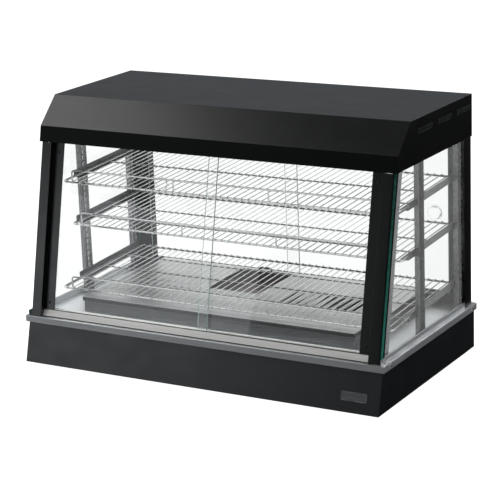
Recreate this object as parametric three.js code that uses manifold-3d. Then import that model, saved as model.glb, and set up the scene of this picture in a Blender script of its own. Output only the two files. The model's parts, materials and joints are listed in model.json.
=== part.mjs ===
// Countertop heated display case: painted base and hood, glass on four sides,
// sliding front and rear doors, three wire shelves and rear controls.
// Millimetres, +Z up, front towards -Y. While it is built, y = 0 is the front
// edge of the painted base where the deck lip starts, and z = 0 is the counter.
import * as THREE from 'three';
import { mergeVertices } from 'three/addons/utils/BufferGeometryUtils.js';
import Module from 'manifold-3d';

const wasm = await Module();
wasm.setup();

// Overall sizes
const caseWidth = 900;
const baseDepth = 485;
const footHeight = 12;
const baseHeight = 91;
const lipHeight = 15;
const glassHeight = 391;
const hoodHeight = 96.5;
const fasciaHeight = 35.6;
const chamferRun = 63;
const hoodBackInset = 9;
const frontLean = 12.2;
const baseLean = 14.6;

// Sheet, gaps and clearances
const sheet = 1.5;
const linerSheet = 1.2;
const gap = 0.3;
const rockerClearance = 0.6;
const shaftClearance = 0.5;

// Deck
const lipOverhang = 6;
const rearOverhang = 1.8;

// Front posts: a folded section with an outer side, a front, a step and a wing
const postFront = 25;
const postStep = 15;
const postWing = 27.5;
const postSide = 22;
const postSetback = 2;
const fasciaSetback = 0.8;
const jambDepth = 24;
const jambReturn = 13;

// Rear posts
const rearPostSide = 36;
const rearPostBack = 57;
const rearPostInset = 1;
const rearPostSetback = 13;

// Glass and its tracks
const glassThickness = 5;
const grooveClearance = 1.3;
const trackWall = 1.5;
const frontTrackStart = 13.4;
const frontRailHeight = 13;
const frontRailToe = 5;
const rearTrackInset = 39;
const rearRailHeight = 27;
const topRailHeight = 15;
const topGrip = 9;
const sideGlassInset = 3.5;
const sideGlassSetback = 9;
const sillHeight = 12.5;
const sillSetback = 26;
const clipNose = 4;
const doorOverlap = 28;
const doorTuck = 2.6;
const rearDoorTuck = 8;

// Rear door finger cups
const cupRadius = 20;
const cupHole = 17;
const cupFlange = 1;
const cupDepth = 4;
const cupFromEdge = 34;
const cupLift = 212;

// Pilasters, shelf rails and shelves
const pilasterInset = 21.5;
const pilasterWidth = 28;
const pilasterFlange = 11;
const frontPilasterY = 208;
const rearPilasterInset = 70;
const slotPitch = 14.5;
const slotHeight = 10;
const slotWidth = 7;
const slotStart = 30;
const slotTopMargin = 26;
const railTipY = 178;
const railBackGap = 2;
const railFoot = 20;
const railWall = 15.5;
const shelfSideGap = 0.8;
const shelfBackGap = 4;
const wireSize = 2.5;
const wirePitch = 17.6;
const rimSize = 5;
const rimHeight = 7.5;
const guardHeight = 26;
const guardRod = 4;
const guardEnd = 28;
const guardPostOffset = 121.5;
const shelfTilt = 2.7;
const weldOverlap = 1;
const shelves = [
  { name: 'bottom', lift: 46, frontY: 98, rods: [0.24, 0.495, 0.75] },
  { name: 'middle', lift: 186, frontY: 150, rods: [0.24, 0.54] },
  { name: 'top', lift: 294, frontY: 122, rods: [0.285, 0.575] },
];

// Heater box on the deck, its cover, water pan and element
const heaterSideMargin = 103;
const heaterFrontY = 78;
const heaterBackInset = 53;
const heaterHeight = 33;
const coverOverlap = 2.6;
const coverSkirt = 9;
const panOpening = { x: -52, width: 136, frontY: 250, backMargin: 8 };
const slotGroup = { endMargin: 69, frontY: 215, length: 86, width: 8, pitch: 20, count: 10 };
const holeGroup = { endMargin: 42, frontY: 226, radius: 4.5, pitch: 19, count: 9, rows: 2, rowPitch: 34 };
const panMargin = 8;
const panHeight = 20;
const panClearance = 4;
const elementRadius = 4;
const elementEndMargin = 27;
const elementFrontMargin = 32;
const elementSpread = 95;
const elementLift = 10;

// Lamp under the hood ceiling
const ceilingLift = 17;
const lampRadius = 8;
const lampEndMargin = 170;
const lampY = 255;
const lampDrop = 10;
const socketSize = 24;

// Hood louvres
const louvreGroups = 3;
const louvresPerGroup = 6;
const louvreGroupPitch = 101;
const louvrePitch = 12.4;
const louvreWidth = 6;
const louvreTall = 12;
const louvreBackMargin = 23;
const louvreDrop = 27;

// Rear control panel and what it carries
const panelWidth = 236;
const panelHeight = 62;
const panelInset = 200;
const panelDrop = 4;
const panelDepth = 13;
const knobRadius = 15;
const knobDepth = 11;
const shaftRadius = 3;
const shaftLength = 8;
const knobOffset = 68;
const rockerWidth = 11;
const rockerLength = 19;
const rockerTilt = 7;
const rockerRows = [
  { name: 'power', offset: 12 },
  { name: 'light', offset: -24 },
];
const bezelMargin = 3;
const switchWall = 2;
const switchDepth = 16;
const gaugeRadius = 20;
const gaugeOffset = -78;
const gaugeDepth = 12;
const gaugeRim = 2;
const glandInset = 90;
const glandRadius = 11;
const glandBore = 5.5;

// Feet
const footRadius = 18;
const footInset = 62;
const footFrontInset = 42;
const footBackInset = 55;

// Vents in the bottom plate
const plateVent = { count: 8, pitch: 30, width: 8, frontY: 200, length: 90 };

// Heights and places that follow from the sizes above
const halfWidth = caseWidth / 2;
const postInset = sideGlassInset + glassThickness;
const lipZ = footHeight + baseHeight;
const deckZ = lipZ + lipHeight;
const hoodZ = deckZ + glassHeight;
const hoodTopZ = hoodZ + hoodHeight;
const ceilingZ = hoodZ + ceilingLift;
const leanTan = Math.tan(THREE.MathUtils.degToRad(frontLean));
const baseTan = Math.tan(THREE.MathUtils.degToRad(baseLean));
const leanCos = Math.cos(THREE.MathUtils.degToRad(frontLean));
const standZ = deckZ + gap;
const frontGlass = glassThickness / leanCos;
const grooveWidth = frontGlass + 2 * grooveClearance;
const grooveStep = grooveWidth + trackWall;
const rearGroove = glassThickness + 2 * grooveClearance;
const rearGrooveStep = rearGroove + trackWall;
const baseTopZ = deckZ - linerSheet - gap;
const rearPostY = baseDepth - rearPostSetback;
const rearTrackStart = baseDepth - rearTrackInset;
const rearPilasterY = baseDepth - rearPilasterInset;
const railEndY = rearTrackStart - railBackGap;
const shelfBackY = railEndY - shelfBackGap;
const heaterHalf = halfWidth - heaterSideMargin;
const heaterBackY = baseDepth - heaterBackInset;
const panBackY = heaterBackY - panOpening.backMargin;
const cupZ = deckZ + cupLift;
const panelX = halfWidth - panelInset;
const knobX = panelX + knobOffset;
const gaugeX = panelX + gaugeOffset;
const glandX = glandInset - halfWidth;
const frontY = (z) => -postSetback + leanTan * (z - deckZ);
const baseFrontY = (z) => baseTan * (z - lipZ);

const paint = { color: '#16191b', roughness: 0.45, metalness: 0.2 };
const steel = { color: '#b9babb', roughness: 0.3, metalness: 0.95 };
const brightSteel = { color: '#d3d4d4', roughness: 0.18, metalness: 1 };
const chrome = { color: '#d9dbdc', roughness: 0.12, metalness: 1 };
const clearGlass = { color: '#d7e6e0', roughness: 0.03, metalness: 0 };
const plastic = { color: '#151515', roughness: 0.4, metalness: 0 };
const rubber = { color: '#101010', roughness: 0.8, metalness: 0 };
const enamel = { color: '#f2f0ea', roughness: 0.3, metalness: 0 };
const sheath = { color: '#5b5650', roughness: 0.5, metalness: 0.8 };
const redPaint = { color: '#b3201a', roughness: 0.4, metalness: 0 };

const assembly = new THREE.Group();

function addPart(name, geometry, look) {
  const mesh = new THREE.Mesh(geometry, new THREE.MeshStandardMaterial(look));
  mesh.name = name;
  assembly.add(mesh);
  return mesh;
}

// Solid helpers

function toSolid(geometry) {
  const bare = geometry.clone();
  bare.deleteAttribute('normal');
  bare.deleteAttribute('uv');
  const merged = mergeVertices(bare, 1e-4);
  return new wasm.Manifold(new wasm.Mesh({
    numProp: 3,
    vertProperties: new Float32Array(merged.attributes.position.array),
    triVerts: new Uint32Array(merged.index.array),
  }));
}

function toGeometry(solid) {
  const mesh = solid.getMesh();
  const geometry = new THREE.BufferGeometry();
  geometry.setAttribute('position', new THREE.BufferAttribute(mesh.vertProperties, 3));
  geometry.setIndex(new THREE.BufferAttribute(mesh.triVerts, 1));
  geometry.computeVertexNormals();
  return geometry;
}

function cut(geometry, tools) {
  let solid = toSolid(geometry);
  for (const tool of tools) {
    solid = solid.subtract(toSolid(tool));
  }
  return toGeometry(solid);
}

function join(geometries) {
  let solid = toSolid(geometries[0]);
  for (const other of geometries.slice(1)) {
    solid = solid.add(toSolid(other));
  }
  return toGeometry(solid);
}

function box(x0, x1, y0, y1, z0, z1) {
  const geometry = new THREE.BoxGeometry(x1 - x0, y1 - y0, z1 - z0);
  geometry.translate((x0 + x1) / 2, (y0 + y1) / 2, (z0 + z1) / 2);
  return geometry;
}

function outline(points) {
  return new THREE.Shape(points.map(([u, v]) => new THREE.Vector2(u, v)));
}

// A profile of [y, z] points run along X.
function alongX(points, x0, x1) {
  const geometry = new THREE.ExtrudeGeometry(outline(points), { depth: x1 - x0, bevelEnabled: false });
  const turn = new THREE.Matrix4().makeBasis(
    new THREE.Vector3(0, 1, 0),
    new THREE.Vector3(0, 0, 1),
    new THREE.Vector3(1, 0, 0),
  );
  geometry.applyMatrix4(turn);
  geometry.translate(x0, 0, 0);
  return geometry;
}

// A profile of [x, depth behind the leaning front] points run up the lean.
function upTheLean(points, z0, z1) {
  const geometry = new THREE.ExtrudeGeometry(outline(points), { depth: z1 - z0, bevelEnabled: false });
  geometry.translate(0, -postSetback, z0 - deckZ);
  geometry.applyMatrix4(new THREE.Matrix4().set(1, 0, 0, 0, 0, 1, leanTan, 0, 0, 0, 1, 0, 0, 0, 0, 1));
  geometry.translate(0, 0, deckZ);
  return geometry;
}

// A profile of [x, y] points run straight up.
function upright(points, z0, z1) {
  const geometry = new THREE.ExtrudeGeometry(outline(points), { depth: z1 - z0, bevelEnabled: false });
  geometry.translate(0, 0, z0);
  return geometry;
}

// Moves the edges of an anticlockwise polygon inwards by one distance each.
function insetPolygon(points, distances) {
  const lines = points.map((start, i) => {
    const end = points[(i + 1) % points.length];
    const length = Math.hypot(end[0] - start[0], end[1] - start[1]);
    const normal = [-(end[1] - start[1]) / length, (end[0] - start[0]) / length];
    return { normal, offset: normal[0] * start[0] + normal[1] * start[1] + distances[i] };
  });
  return lines.map((line, i) => {
    const before = lines[(i + lines.length - 1) % lines.length];
    const det = before.normal[0] * line.normal[1] - before.normal[1] * line.normal[0];
    return [
      (before.offset * line.normal[1] - line.offset * before.normal[1]) / det,
      (before.normal[0] * line.offset - line.normal[0] * before.offset) / det,
    ];
  });
}

// side is -1 on the left and +1 on the right; s is measured inwards from the side.
function fromSide(side, s) {
  return side * (halfWidth - s);
}

function sideBox(side, s0, s1, y0, y1, z0, z1) {
  const a = fromSide(side, s0);
  const b = fromSide(side, s1);
  return box(Math.min(a, b), Math.max(a, b), y0, y1, z0, z1);
}

// Mirrors a list of [s, depth] points to one side, kept anticlockwise.
function sideProfile(side, points) {
  const placed = points.map(([s, depth]) => [fromSide(side, s), depth]);
  return side < 0 ? placed : placed.reverse();
}

function ringSlots(count, radius) {
  return Array.from({ length: count }, (_, i) => {
    const angle = (2 * Math.PI * i) / count;
    return [radius * Math.cos(angle), radius * Math.sin(angle)];
  });
}

function disc(radius, y0, y1, x, z, segments) {
  const geometry = new THREE.CylinderGeometry(radius, radius, y1 - y0, segments);
  geometry.translate(x, (y0 + y1) / 2, z);
  return geometry;
}

const sides = [
  { name: 'left', side: -1 },
  { name: 'right', side: 1 },
];

// Base, feet and deck

const panelBackY = baseDepth - panelDepth;
const panelZ = (footHeight + baseTopZ) / 2 - panelDrop;

function panelWindow(margin, y0, y1) {
  return box(
    panelX - panelWidth / 2 - margin,
    panelX + panelWidth / 2 + margin,
    y0,
    y1,
    panelZ - panelHeight / 2 - margin,
    panelZ + panelHeight / 2 + margin,
  );
}

function makeBase() {
  const profile = [
    [baseFrontY(footHeight), footHeight],
    [baseDepth, footHeight],
    [baseDepth, baseTopZ],
    [baseFrontY(baseTopZ), baseTopZ],
  ];
  const open = 8;
  const inner = insetPolygon(profile, [-open, sheet, -open, sheet]);
  const shell = alongX(profile, -halfWidth, halfWidth);
  const room = alongX(inner, -halfWidth + sheet, halfWidth - sheet);
  const window = panelWindow(gap, baseDepth - 2 * sheet, baseDepth + sheet);
  const glandHole = disc(glandRadius, baseDepth - 2 * sheet, baseDepth + sheet, glandX, panelZ, 24);
  addPart('base_shell', cut(shell, [room, window, glandHole]), paint);

  const floorZ = footHeight + gap;
  const plate = box(
    -halfWidth + sheet + gap,
    halfWidth - sheet - gap,
    baseFrontY(footHeight) + 2 * sheet + gap,
    baseDepth - sheet - gap,
    floorZ,
    floorZ + linerSheet,
  );
  const vents = [];
  for (let i = 0; i < plateVent.count; i += 1) {
    const x = (i - (plateVent.count - 1) / 2) * plateVent.pitch;
    const half = plateVent.width / 2;
    const backY = plateVent.frontY + plateVent.length;
    vents.push(box(x - half, x + half, plateVent.frontY, backY, floorZ - 1, floorZ + 3));
  }
  addPart('base_bottom_plate', cut(plate, vents), steel);
}

function makeFoot(name, x, y) {
  const radius = footRadius;
  const profile = [
    [0, 0],
    [radius - 2, 0],
    [radius, 2],
    [radius - 3, footHeight],
    [0, footHeight],
  ];
  const foot = new THREE.LatheGeometry(profile.map(([r, z]) => new THREE.Vector2(r, z)), 28);
  foot.rotateX(Math.PI / 2);
  foot.translate(x, y, 0);
  addPart(name, foot, rubber);
}

function makeFeet() {
  for (const { name, side } of sides) {
    makeFoot(`foot_front_${name}`, fromSide(side, footInset), footFrontInset);
    makeFoot(`foot_rear_${name}`, fromSide(side, footInset), baseDepth - footBackInset);
  }
}

function makeDeck() {
  const edge = halfWidth + lipOverhang;
  const rearY = baseDepth + rearOverhang;
  const pan = box(-edge, edge, -lipOverhang, rearY, lipZ, deckZ);
  const under = box(
    -edge + linerSheet,
    edge - linerSheet,
    -lipOverhang + linerSheet,
    rearY - linerSheet,
    lipZ - 5,
    deckZ - linerSheet,
  );
  addPart('deck_pan', cut(pan, [under]), steel);
}

// Heater box

function makeHeater() {
  const half = heaterHalf;
  const topZ = standZ + heaterHeight;
  const boxWalls = box(-half, half, heaterFrontY, heaterBackY, standZ, topZ);
  const inside = box(
    -half + linerSheet,
    half - linerSheet,
    heaterFrontY + linerSheet,
    heaterBackY - linerSheet,
    standZ + linerSheet,
    topZ + 5,
  );
  addPart('heater_box', cut(boxWalls, [inside]), steel);

  const coverZ = topZ + gap;
  const cover = box(
    -half - coverOverlap,
    half + coverOverlap,
    heaterFrontY - coverOverlap,
    heaterBackY + coverOverlap,
    coverZ - coverSkirt,
    coverZ + linerSheet,
  );
  const tools = [box(
    -half - coverOverlap + linerSheet,
    half + coverOverlap - linerSheet,
    heaterFrontY - coverOverlap + linerSheet,
    heaterBackY + coverOverlap - linerSheet,
    coverZ - coverSkirt - 5,
    coverZ,
  )];
  const through = (x0, x1, y0, y1) => box(x0, x1, y0, y1, coverZ - 1, coverZ + linerSheet + 1);
  const halfOpening = panOpening.width / 2;
  tools.push(through(
    panOpening.x - halfOpening,
    panOpening.x + halfOpening,
    panOpening.frontY,
    panBackY,
  ));
  const slotRun = (slotGroup.count - 1) * slotGroup.pitch + slotGroup.width;
  for (let i = 0; i < slotGroup.count; i += 1) {
    const x = half - slotGroup.endMargin - slotRun + i * slotGroup.pitch;
    tools.push(through(x, x + slotGroup.width, slotGroup.frontY, slotGroup.frontY + slotGroup.length));
  }
  for (let row = 0; row < holeGroup.rows; row += 1) {
    for (let i = 0; i < holeGroup.count; i += 1) {
      const x = holeGroup.endMargin - half + i * holeGroup.pitch;
      const y = holeGroup.frontY + row * holeGroup.rowPitch;
      const ring = ringSlots(10, holeGroup.radius).map(([u, v]) => [x + u, y + v]);
      tools.push(upright(ring, coverZ - 1, coverZ + linerSheet + 1));
    }
  }
  addPart('heater_cover', cut(cover, tools), steel);
}

function makeWaterPan() {
  const floorZ = standZ + linerSheet + panClearance;
  const halfPan = panOpening.width / 2 - panMargin;
  const pan = box(
    panOpening.x - halfPan,
    panOpening.x + halfPan,
    panOpening.frontY + panMargin,
    panBackY - panMargin,
    floorZ,
    floorZ + panHeight,
  );
  const hollow = box(
    panOpening.x - halfPan + linerSheet,
    panOpening.x + halfPan - linerSheet,
    panOpening.frontY + panMargin + linerSheet,
    panBackY - panMargin - linerSheet,
    floorZ + linerSheet,
    floorZ + panHeight + 5,
  );
  addPart('water_pan', cut(pan, [hollow]), brightSteel);
}

function makeElement() {
  const z = standZ + linerSheet + elementLift;
  const path = new THREE.CurvePath();
  const reach = heaterHalf - elementEndMargin;
  const nearY = heaterFrontY + elementFrontMargin;
  const farY = nearY + elementSpread;
  const bend = elementSpread / 2;
  const legEnd = reach - bend;
  const corner = (x, y) => new THREE.Vector3(x, y, z);
  path.add(new THREE.LineCurve3(corner(-reach, nearY), corner(legEnd, nearY)));
  path.add(new THREE.QuadraticBezierCurve3(
    corner(legEnd, nearY),
    corner(reach, nearY),
    corner(reach, nearY + bend),
  ));
  path.add(new THREE.QuadraticBezierCurve3(
    corner(reach, nearY + bend),
    corner(reach, farY),
    corner(legEnd, farY),
  ));
  path.add(new THREE.LineCurve3(corner(legEnd, farY), corner(-reach, farY)));
  const section = outline(ringSlots(8, elementRadius));
  const rod = new THREE.ExtrudeGeometry(section, { steps: 48, extrudePath: path, bevelEnabled: false });
  addPart('heating_element', rod, sheath);
}

// Tracks, posts and glass

const outerDoorDepth = frontTrackStart + 2 + grooveClearance;
const innerDoorDepth = outerDoorDepth + grooveStep;
const frontRailDepth = 2 + 2 * grooveStep;

// The [y, z] profile of a two-groove track whose walls follow the front's lean.
function frontTrack(baseZ, tipZ, toeY) {
  const floorZ = baseZ + Math.sign(tipZ - baseZ) * trackWall;
  const at = (depth, z) => [frontY(z) + frontTrackStart + depth, z];
  const second = 2 + grooveStep;
  const points = [
    [toeY, baseZ],
    at(frontRailDepth, baseZ),
    at(frontRailDepth, tipZ),
    at(frontRailDepth - trackWall, tipZ),
    at(frontRailDepth - trackWall, floorZ),
    at(second, floorZ),
    at(second, tipZ),
    at(second - trackWall, tipZ),
    at(second - trackWall, floorZ),
    at(2, floorZ),
    at(2, tipZ),
    at(0, tipZ),
  ];
  return tipZ > baseZ ? points : points.reverse();
}

function rearTrack(baseZ, tipZ) {
  const floorZ = baseZ + Math.sign(tipZ - baseZ) * trackWall;
  const walls = [0, rearGrooveStep, 2 * rearGrooveStep].map((d) => rearTrackStart + d);
  const points = [
    [walls[0], baseZ],
    [walls[2] + trackWall, baseZ],
    [walls[2] + trackWall, tipZ],
    [walls[2], tipZ],
    [walls[2], floorZ],
    [walls[1] + trackWall, floorZ],
    [walls[1] + trackWall, tipZ],
    [walls[1], tipZ],
    [walls[1], floorZ],
    [walls[0] + trackWall, floorZ],
    [walls[0] + trackWall, tipZ],
    [walls[0], tipZ],
  ];
  return tipZ > baseZ ? points : points.reverse();
}

const railZ = standZ + frontRailHeight;
const postInner = postInset + postFront;
const topTrackZ = hoodZ + topRailHeight;
const jambInset = sideGlassInset + glassThickness + grooveClearance + trackWall;

function makeTracks() {
  const bottomEnd = halfWidth - postInner - gap;
  const topEnd = halfWidth - jambInset - jambReturn - 2 * gap;
  const topToeY = frontY(topTrackZ) + frontTrackStart;
  const rearEnd = halfWidth - rearPostInset - sheet - glassThickness - 6;
  const bottomTrack = frontTrack(standZ, railZ, frontRailToe);
  const topTrack = frontTrack(topTrackZ, hoodZ + gap, topToeY);
  addPart('front_bottom_track', alongX(bottomTrack, -bottomEnd, bottomEnd), brightSteel);
  addPart('front_top_track', alongX(topTrack, -topEnd, topEnd), brightSteel);
  addPart('rear_bottom_track', alongX(rearTrack(standZ, standZ + rearRailHeight), -rearEnd, rearEnd), paint);
  addPart('rear_top_track', alongX(rearTrack(topTrackZ, hoodZ + gap), -rearEnd, rearEnd), brightSteel);
}

function makeFrontPost(name, side) {
  const step = postStep;
  const wingEnd = postInner + postWing;
  const section = sideProfile(side, [
    [postInset, 0],
    [postInner, 0],
    [postInner, step - sheet],
    [wingEnd, step - sheet],
    [wingEnd, step],
    [postInner - sheet, step],
    [postInner - sheet, sheet],
    [postInset + sheet, sheet],
    [postInset + sheet, postSide],
    [postInset, postSide],
  ]);
  const post = upTheLean(section, standZ, hoodZ - gap);
  const notch = sideBox(side, postInner, wingEnd + 5, -20, 60, deckZ - 5, railZ + gap);
  addPart(`front_post_${name}`, cut(post, [notch]), paint);
}

function makeFrontJamb(name, side) {
  const start = postSide + gap;
  const end = start + jambDepth;
  const section = sideProfile(side, [
    [jambInset, start],
    [jambInset + linerSheet, start],
    [jambInset + linerSheet, end - linerSheet],
    [jambInset + jambReturn, end - linerSheet],
    [jambInset + jambReturn, end],
    [jambInset, end],
  ]);
  addPart(`front_jamb_${name}`, upTheLean(section, standZ, ceilingZ - gap), steel);
}

function makeRearPost(name, side) {
  const section = sideProfile(side, [
    [rearPostInset, rearPostY - rearPostSide],
    [rearPostInset + sheet, rearPostY - rearPostSide],
    [rearPostInset + sheet, rearPostY - sheet],
    [rearPostInset + rearPostBack, rearPostY - sheet],
    [rearPostInset + rearPostBack, rearPostY],
    [rearPostInset, rearPostY],
  ]);
  addPart(`rear_post_${name}`, upright(section, standZ, hoodZ - gap), paint);
}

const glassFootZ = standZ + trackWall + 1;
const glassTopZ = hoodZ + topGrip;
const sideGlassBackY = rearPostY - sheet - 2;

function makeSideGlass(name, side) {
  const profile = [
    [frontY(glassFootZ) + sideGlassSetback, glassFootZ],
    [sideGlassBackY, glassFootZ],
    [sideGlassBackY, glassTopZ],
    [frontY(glassTopZ) + sideGlassSetback, glassTopZ],
  ];
  const outer = fromSide(side, sideGlassInset);
  const inner = fromSide(side, sideGlassInset + glassThickness);
  const pane = alongX(profile, Math.min(outer, inner), Math.max(outer, inner));
  addPart(`side_glass_${name}`, pane, clearGlass);
}

function makeSideSill(name, side) {
  const grooveOut = sideGlassInset - gap;
  const grooveIn = sideGlassInset + glassThickness + gap;
  const backY = rearPostY - rearPostSide - gap;
  const topZ = standZ + sillHeight;
  const frontEndY = frontY(standZ) + sillSetback;
  const sill = join([
    sideBox(side, grooveOut - trackWall, grooveIn + trackWall, frontEndY, backY, standZ, standZ + trackWall),
    sideBox(side, grooveOut - trackWall, grooveOut, -clipNose, backY, standZ, topZ),
    sideBox(side, grooveIn, grooveIn + trackWall, frontEndY, backY, standZ, topZ),
  ]);
  addPart(`side_sill_${name}`, sill, brightSteel);
}

// Doors: the left one runs in the outer groove and the right one in the inner groove.

function makeFrontDoors() {
  const z0 = railZ - frontRailHeight + trackWall + 1;
  const edge = halfWidth - postInner - doorTuck;
  const lap = doorOverlap / 2;
  const panel = (x0, x1, depth) => upTheLean([
    [x0, depth],
    [x1, depth],
    [x1, depth + frontGlass],
    [x0, depth + frontGlass],
  ], z0, glassTopZ);
  addPart('front_door_left', panel(-edge, lap, outerDoorDepth), clearGlass);
  addPart('front_door_right', panel(-lap, edge, innerDoorDepth), clearGlass);
}

function fingerCup(name, x, glassY) {
  const back = glassY + glassThickness;
  const profile = [
    [0, back - cupDepth - sheet / 2],
    [cupHole - gap, back - cupDepth - sheet / 2],
    [cupHole - gap, back + gap / 2],
    [cupRadius, back + gap / 2],
    [cupRadius, back + gap / 2 + cupFlange],
    [cupHole - 2, back + gap / 2 + cupFlange],
    [cupHole - 4, back - cupDepth + sheet / 2],
    [0, back - cupDepth + sheet / 2],
  ];
  const cup = new THREE.LatheGeometry(profile.map(([r, y]) => new THREE.Vector2(r, y)), 32);
  cup.translate(x, 0, cupZ);
  addPart(name, cup, plastic);
}

function makeRearDoors() {
  const z0 = standZ + trackWall + 1;
  const lap = doorOverlap / 2;
  const edge = halfWidth - rearPostInset - rearPostBack + rearDoorTuck;
  const innerY = rearTrackStart + trackWall + grooveClearance;
  const rows = [
    { name: 'left', x0: -edge, x1: lap, y: innerY + rearGrooveStep, cupX: -edge + cupFromEdge },
    { name: 'right', x0: -lap, x1: edge, y: innerY, cupX: edge - cupFromEdge },
  ];
  for (const door of rows) {
    const pane = box(door.x0, door.x1, door.y, door.y + glassThickness, z0, glassTopZ);
    const hole = disc(cupHole, door.y - 2, door.y + glassThickness + 2, door.cupX, cupZ, 32);
    addPart(`rear_door_${door.name}`, cut(pane, [hole]), clearGlass);
    fingerCup(`rear_pull_${door.name}`, door.cupX, door.y);
  }
}

// Pilasters, shelf rails and shelves

function makePilaster(name, side, startY) {
  const topZ = ceilingZ - gap;
  const outerS = pilasterInset + sheet - pilasterFlange;
  const section = sideProfile(side, [
    [outerS, startY],
    [pilasterInset + sheet, startY],
    [pilasterInset + sheet, startY + pilasterWidth],
    [outerS, startY + pilasterWidth],
    [outerS, startY + pilasterWidth - sheet],
    [pilasterInset, startY + pilasterWidth - sheet],
    [pilasterInset, startY + sheet],
    [outerS, startY + sheet],
  ]);
  const holes = [];
  const middleY = startY + pilasterWidth / 2;
  for (let z = deckZ + slotStart; z < topZ - slotTopMargin; z += slotPitch) {
    holes.push(sideBox(
      side,
      pilasterInset - 1,
      pilasterInset + sheet + 1,
      middleY - slotWidth / 2,
      middleY + slotWidth / 2,
      z,
      z + slotHeight,
    ));
  }
  addPart(name, cut(upright(section, standZ, topZ), holes), brightSteel);
}

const railInset = pilasterInset + sheet + gap;

// Tips a shelf or its rail up towards the back, about the shelf's front edge.
function tipUp(geometry, shelf) {
  const top = deckZ + shelf.lift;
  geometry.translate(0, -shelf.frontY, -top);
  geometry.rotateX(THREE.MathUtils.degToRad(shelfTilt));
  geometry.translate(0, shelf.frontY, top);
  return geometry;
}

function makeShelfRail(name, side, shelf) {
  const footTopZ = deckZ + shelf.lift - rimHeight - gap;
  const rail = alongX([
    [railTipY, footTopZ - sheet],
    [railEndY, footTopZ - sheet],
    [railEndY, footTopZ + railWall],
    [railTipY, footTopZ + railWall],
  ], 0, sheet + railFoot);
  const corner = alongX([
    [railTipY - 5, footTopZ],
    [railEndY + 5, footTopZ],
    [railEndY + 5, footTopZ + railWall + 5],
    [railTipY - 5, footTopZ + railWall + 5],
  ], sheet, sheet + railFoot + 5);
  const angle = cut(rail, [corner]);
  if (side > 0) {
    angle.applyMatrix4(new THREE.Matrix4().makeRotationZ(Math.PI));
    angle.translate(0, railTipY + railEndY, 0);
  }
  angle.translate(fromSide(side, railInset), 0, 0);
  addPart(name, tipUp(angle, shelf), steel);
}

// Welded wires drawn square: every wire ends in the front and rear rims.
function makeShelf(shelf) {
  const half = halfWidth - railInset - sheet - shelfSideGap;
  const top = deckZ + shelf.lift;
  const depth = shelfBackY - shelf.frontY;
  const inner = half - rimSize;
  const count = Math.floor((2 * inner) / wirePitch);
  const cell = (2 * inner + wireSize) / count;
  const slots = [];
  for (let i = 0; i < count; i += 1) {
    const x = -inner + i * cell;
    const z = top - wireSize;
    slots.push(box(x, x + cell - wireSize, shelf.frontY + rimSize, shelfBackY - rimSize, z - 1, top + 1));
  }
  const mat = cut(box(-half, half, shelf.frontY, shelfBackY, top - wireSize, top), slots);
  const low = top - rimHeight;
  const mid = top - wireSize / 2;
  const pieces = [
    mat,
    box(-half, half, shelf.frontY, shelf.frontY + rimSize, low, mid),
    box(-half, half, shelfBackY - rimSize, shelfBackY, low, mid),
    box(-half, -inner, shelf.frontY, shelfBackY, low, mid),
    box(inner, half, shelf.frontY, shelfBackY, low, mid),
  ];
  for (const rod of shelf.rods) {
    const y = shelf.frontY + rod * depth;
    pieces.push(box(-half + weldOverlap, half - weldOverlap, y, y + guardRod, low + gap, top - wireSize - gap));
  }
  const guardEndX = half - guardEnd;
  const guardTop = top + guardHeight;
  const guardBackY = shelf.frontY + guardRod;
  pieces.push(box(-guardEndX, guardEndX, shelf.frontY, guardBackY, guardTop - guardRod, guardTop));
  for (const x of [-guardEndX, -guardPostOffset, guardPostOffset - guardRod, guardEndX - guardRod]) {
    pieces.push(box(x, x + guardRod, shelf.frontY, guardBackY, mid - weldOverlap / 2, guardTop - weldOverlap));
  }
  addPart(`shelf_${shelf.name}`, tipUp(join(pieces), shelf), chrome);
}

function makeShelving() {
  for (const { name, side } of sides) {
    makePilaster(`pilaster_front_${name}`, side, frontPilasterY);
    makePilaster(`pilaster_rear_${name}`, side, rearPilasterY);
    for (const shelf of shelves) {
      makeShelfRail(`shelf_rail_${shelf.name}_${name}`, side, shelf);
    }
  }
  for (const shelf of shelves) {
    makeShelf(shelf);
  }
}

// Hood, ceiling and lamp

function hoodProfile() {
  const frontZ = hoodZ;
  const fasciaZ = hoodZ + fasciaHeight;
  const frontEdge = frontY(frontZ) + fasciaSetback;
  const fasciaEdge = frontY(fasciaZ) + fasciaSetback;
  const backY = baseDepth - hoodBackInset;
  return [
    [frontEdge, frontZ],
    [backY, frontZ],
    [backY, hoodTopZ],
    [fasciaEdge + chamferRun, hoodTopZ],
    [fasciaEdge, fasciaZ],
  ];
}

function makeHood() {
  const profile = hoodProfile();
  const inner = insetPolygon(profile, [-8, sheet, sheet, sheet, sheet]);
  const shell = alongX(profile, -halfWidth, halfWidth);
  const tools = [alongX(inner, -halfWidth + sheet, halfWidth - sheet)];
  const z = hoodTopZ - louvreDrop;
  const groupRun = (louvresPerGroup - 1) * louvrePitch + louvreWidth;
  const firstY = baseDepth - louvreBackMargin - groupRun - (louvreGroups - 1) * louvreGroupPitch;
  for (let group = 0; group < louvreGroups; group += 1) {
    for (let i = 0; i < louvresPerGroup; i += 1) {
      const y = firstY + group * louvreGroupPitch + i * louvrePitch;
      for (const { side } of sides) {
        tools.push(sideBox(side, -1, sheet + 1, y, y + louvreWidth, z - louvreTall / 2, z + louvreTall / 2));
      }
    }
  }
  addPart('hood_shell', cut(shell, tools), paint);
}

function makeCeiling() {
  const front = frontY(ceilingZ) + fasciaSetback + sheet / leanCos + 2 * gap;
  const back = baseDepth - hoodBackInset - sheet - gap;
  const edge = halfWidth - sheet - gap;
  addPart('hood_ceiling', box(-edge, edge, front, back, ceilingZ, ceilingZ + linerSheet), brightSteel);
}

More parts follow.
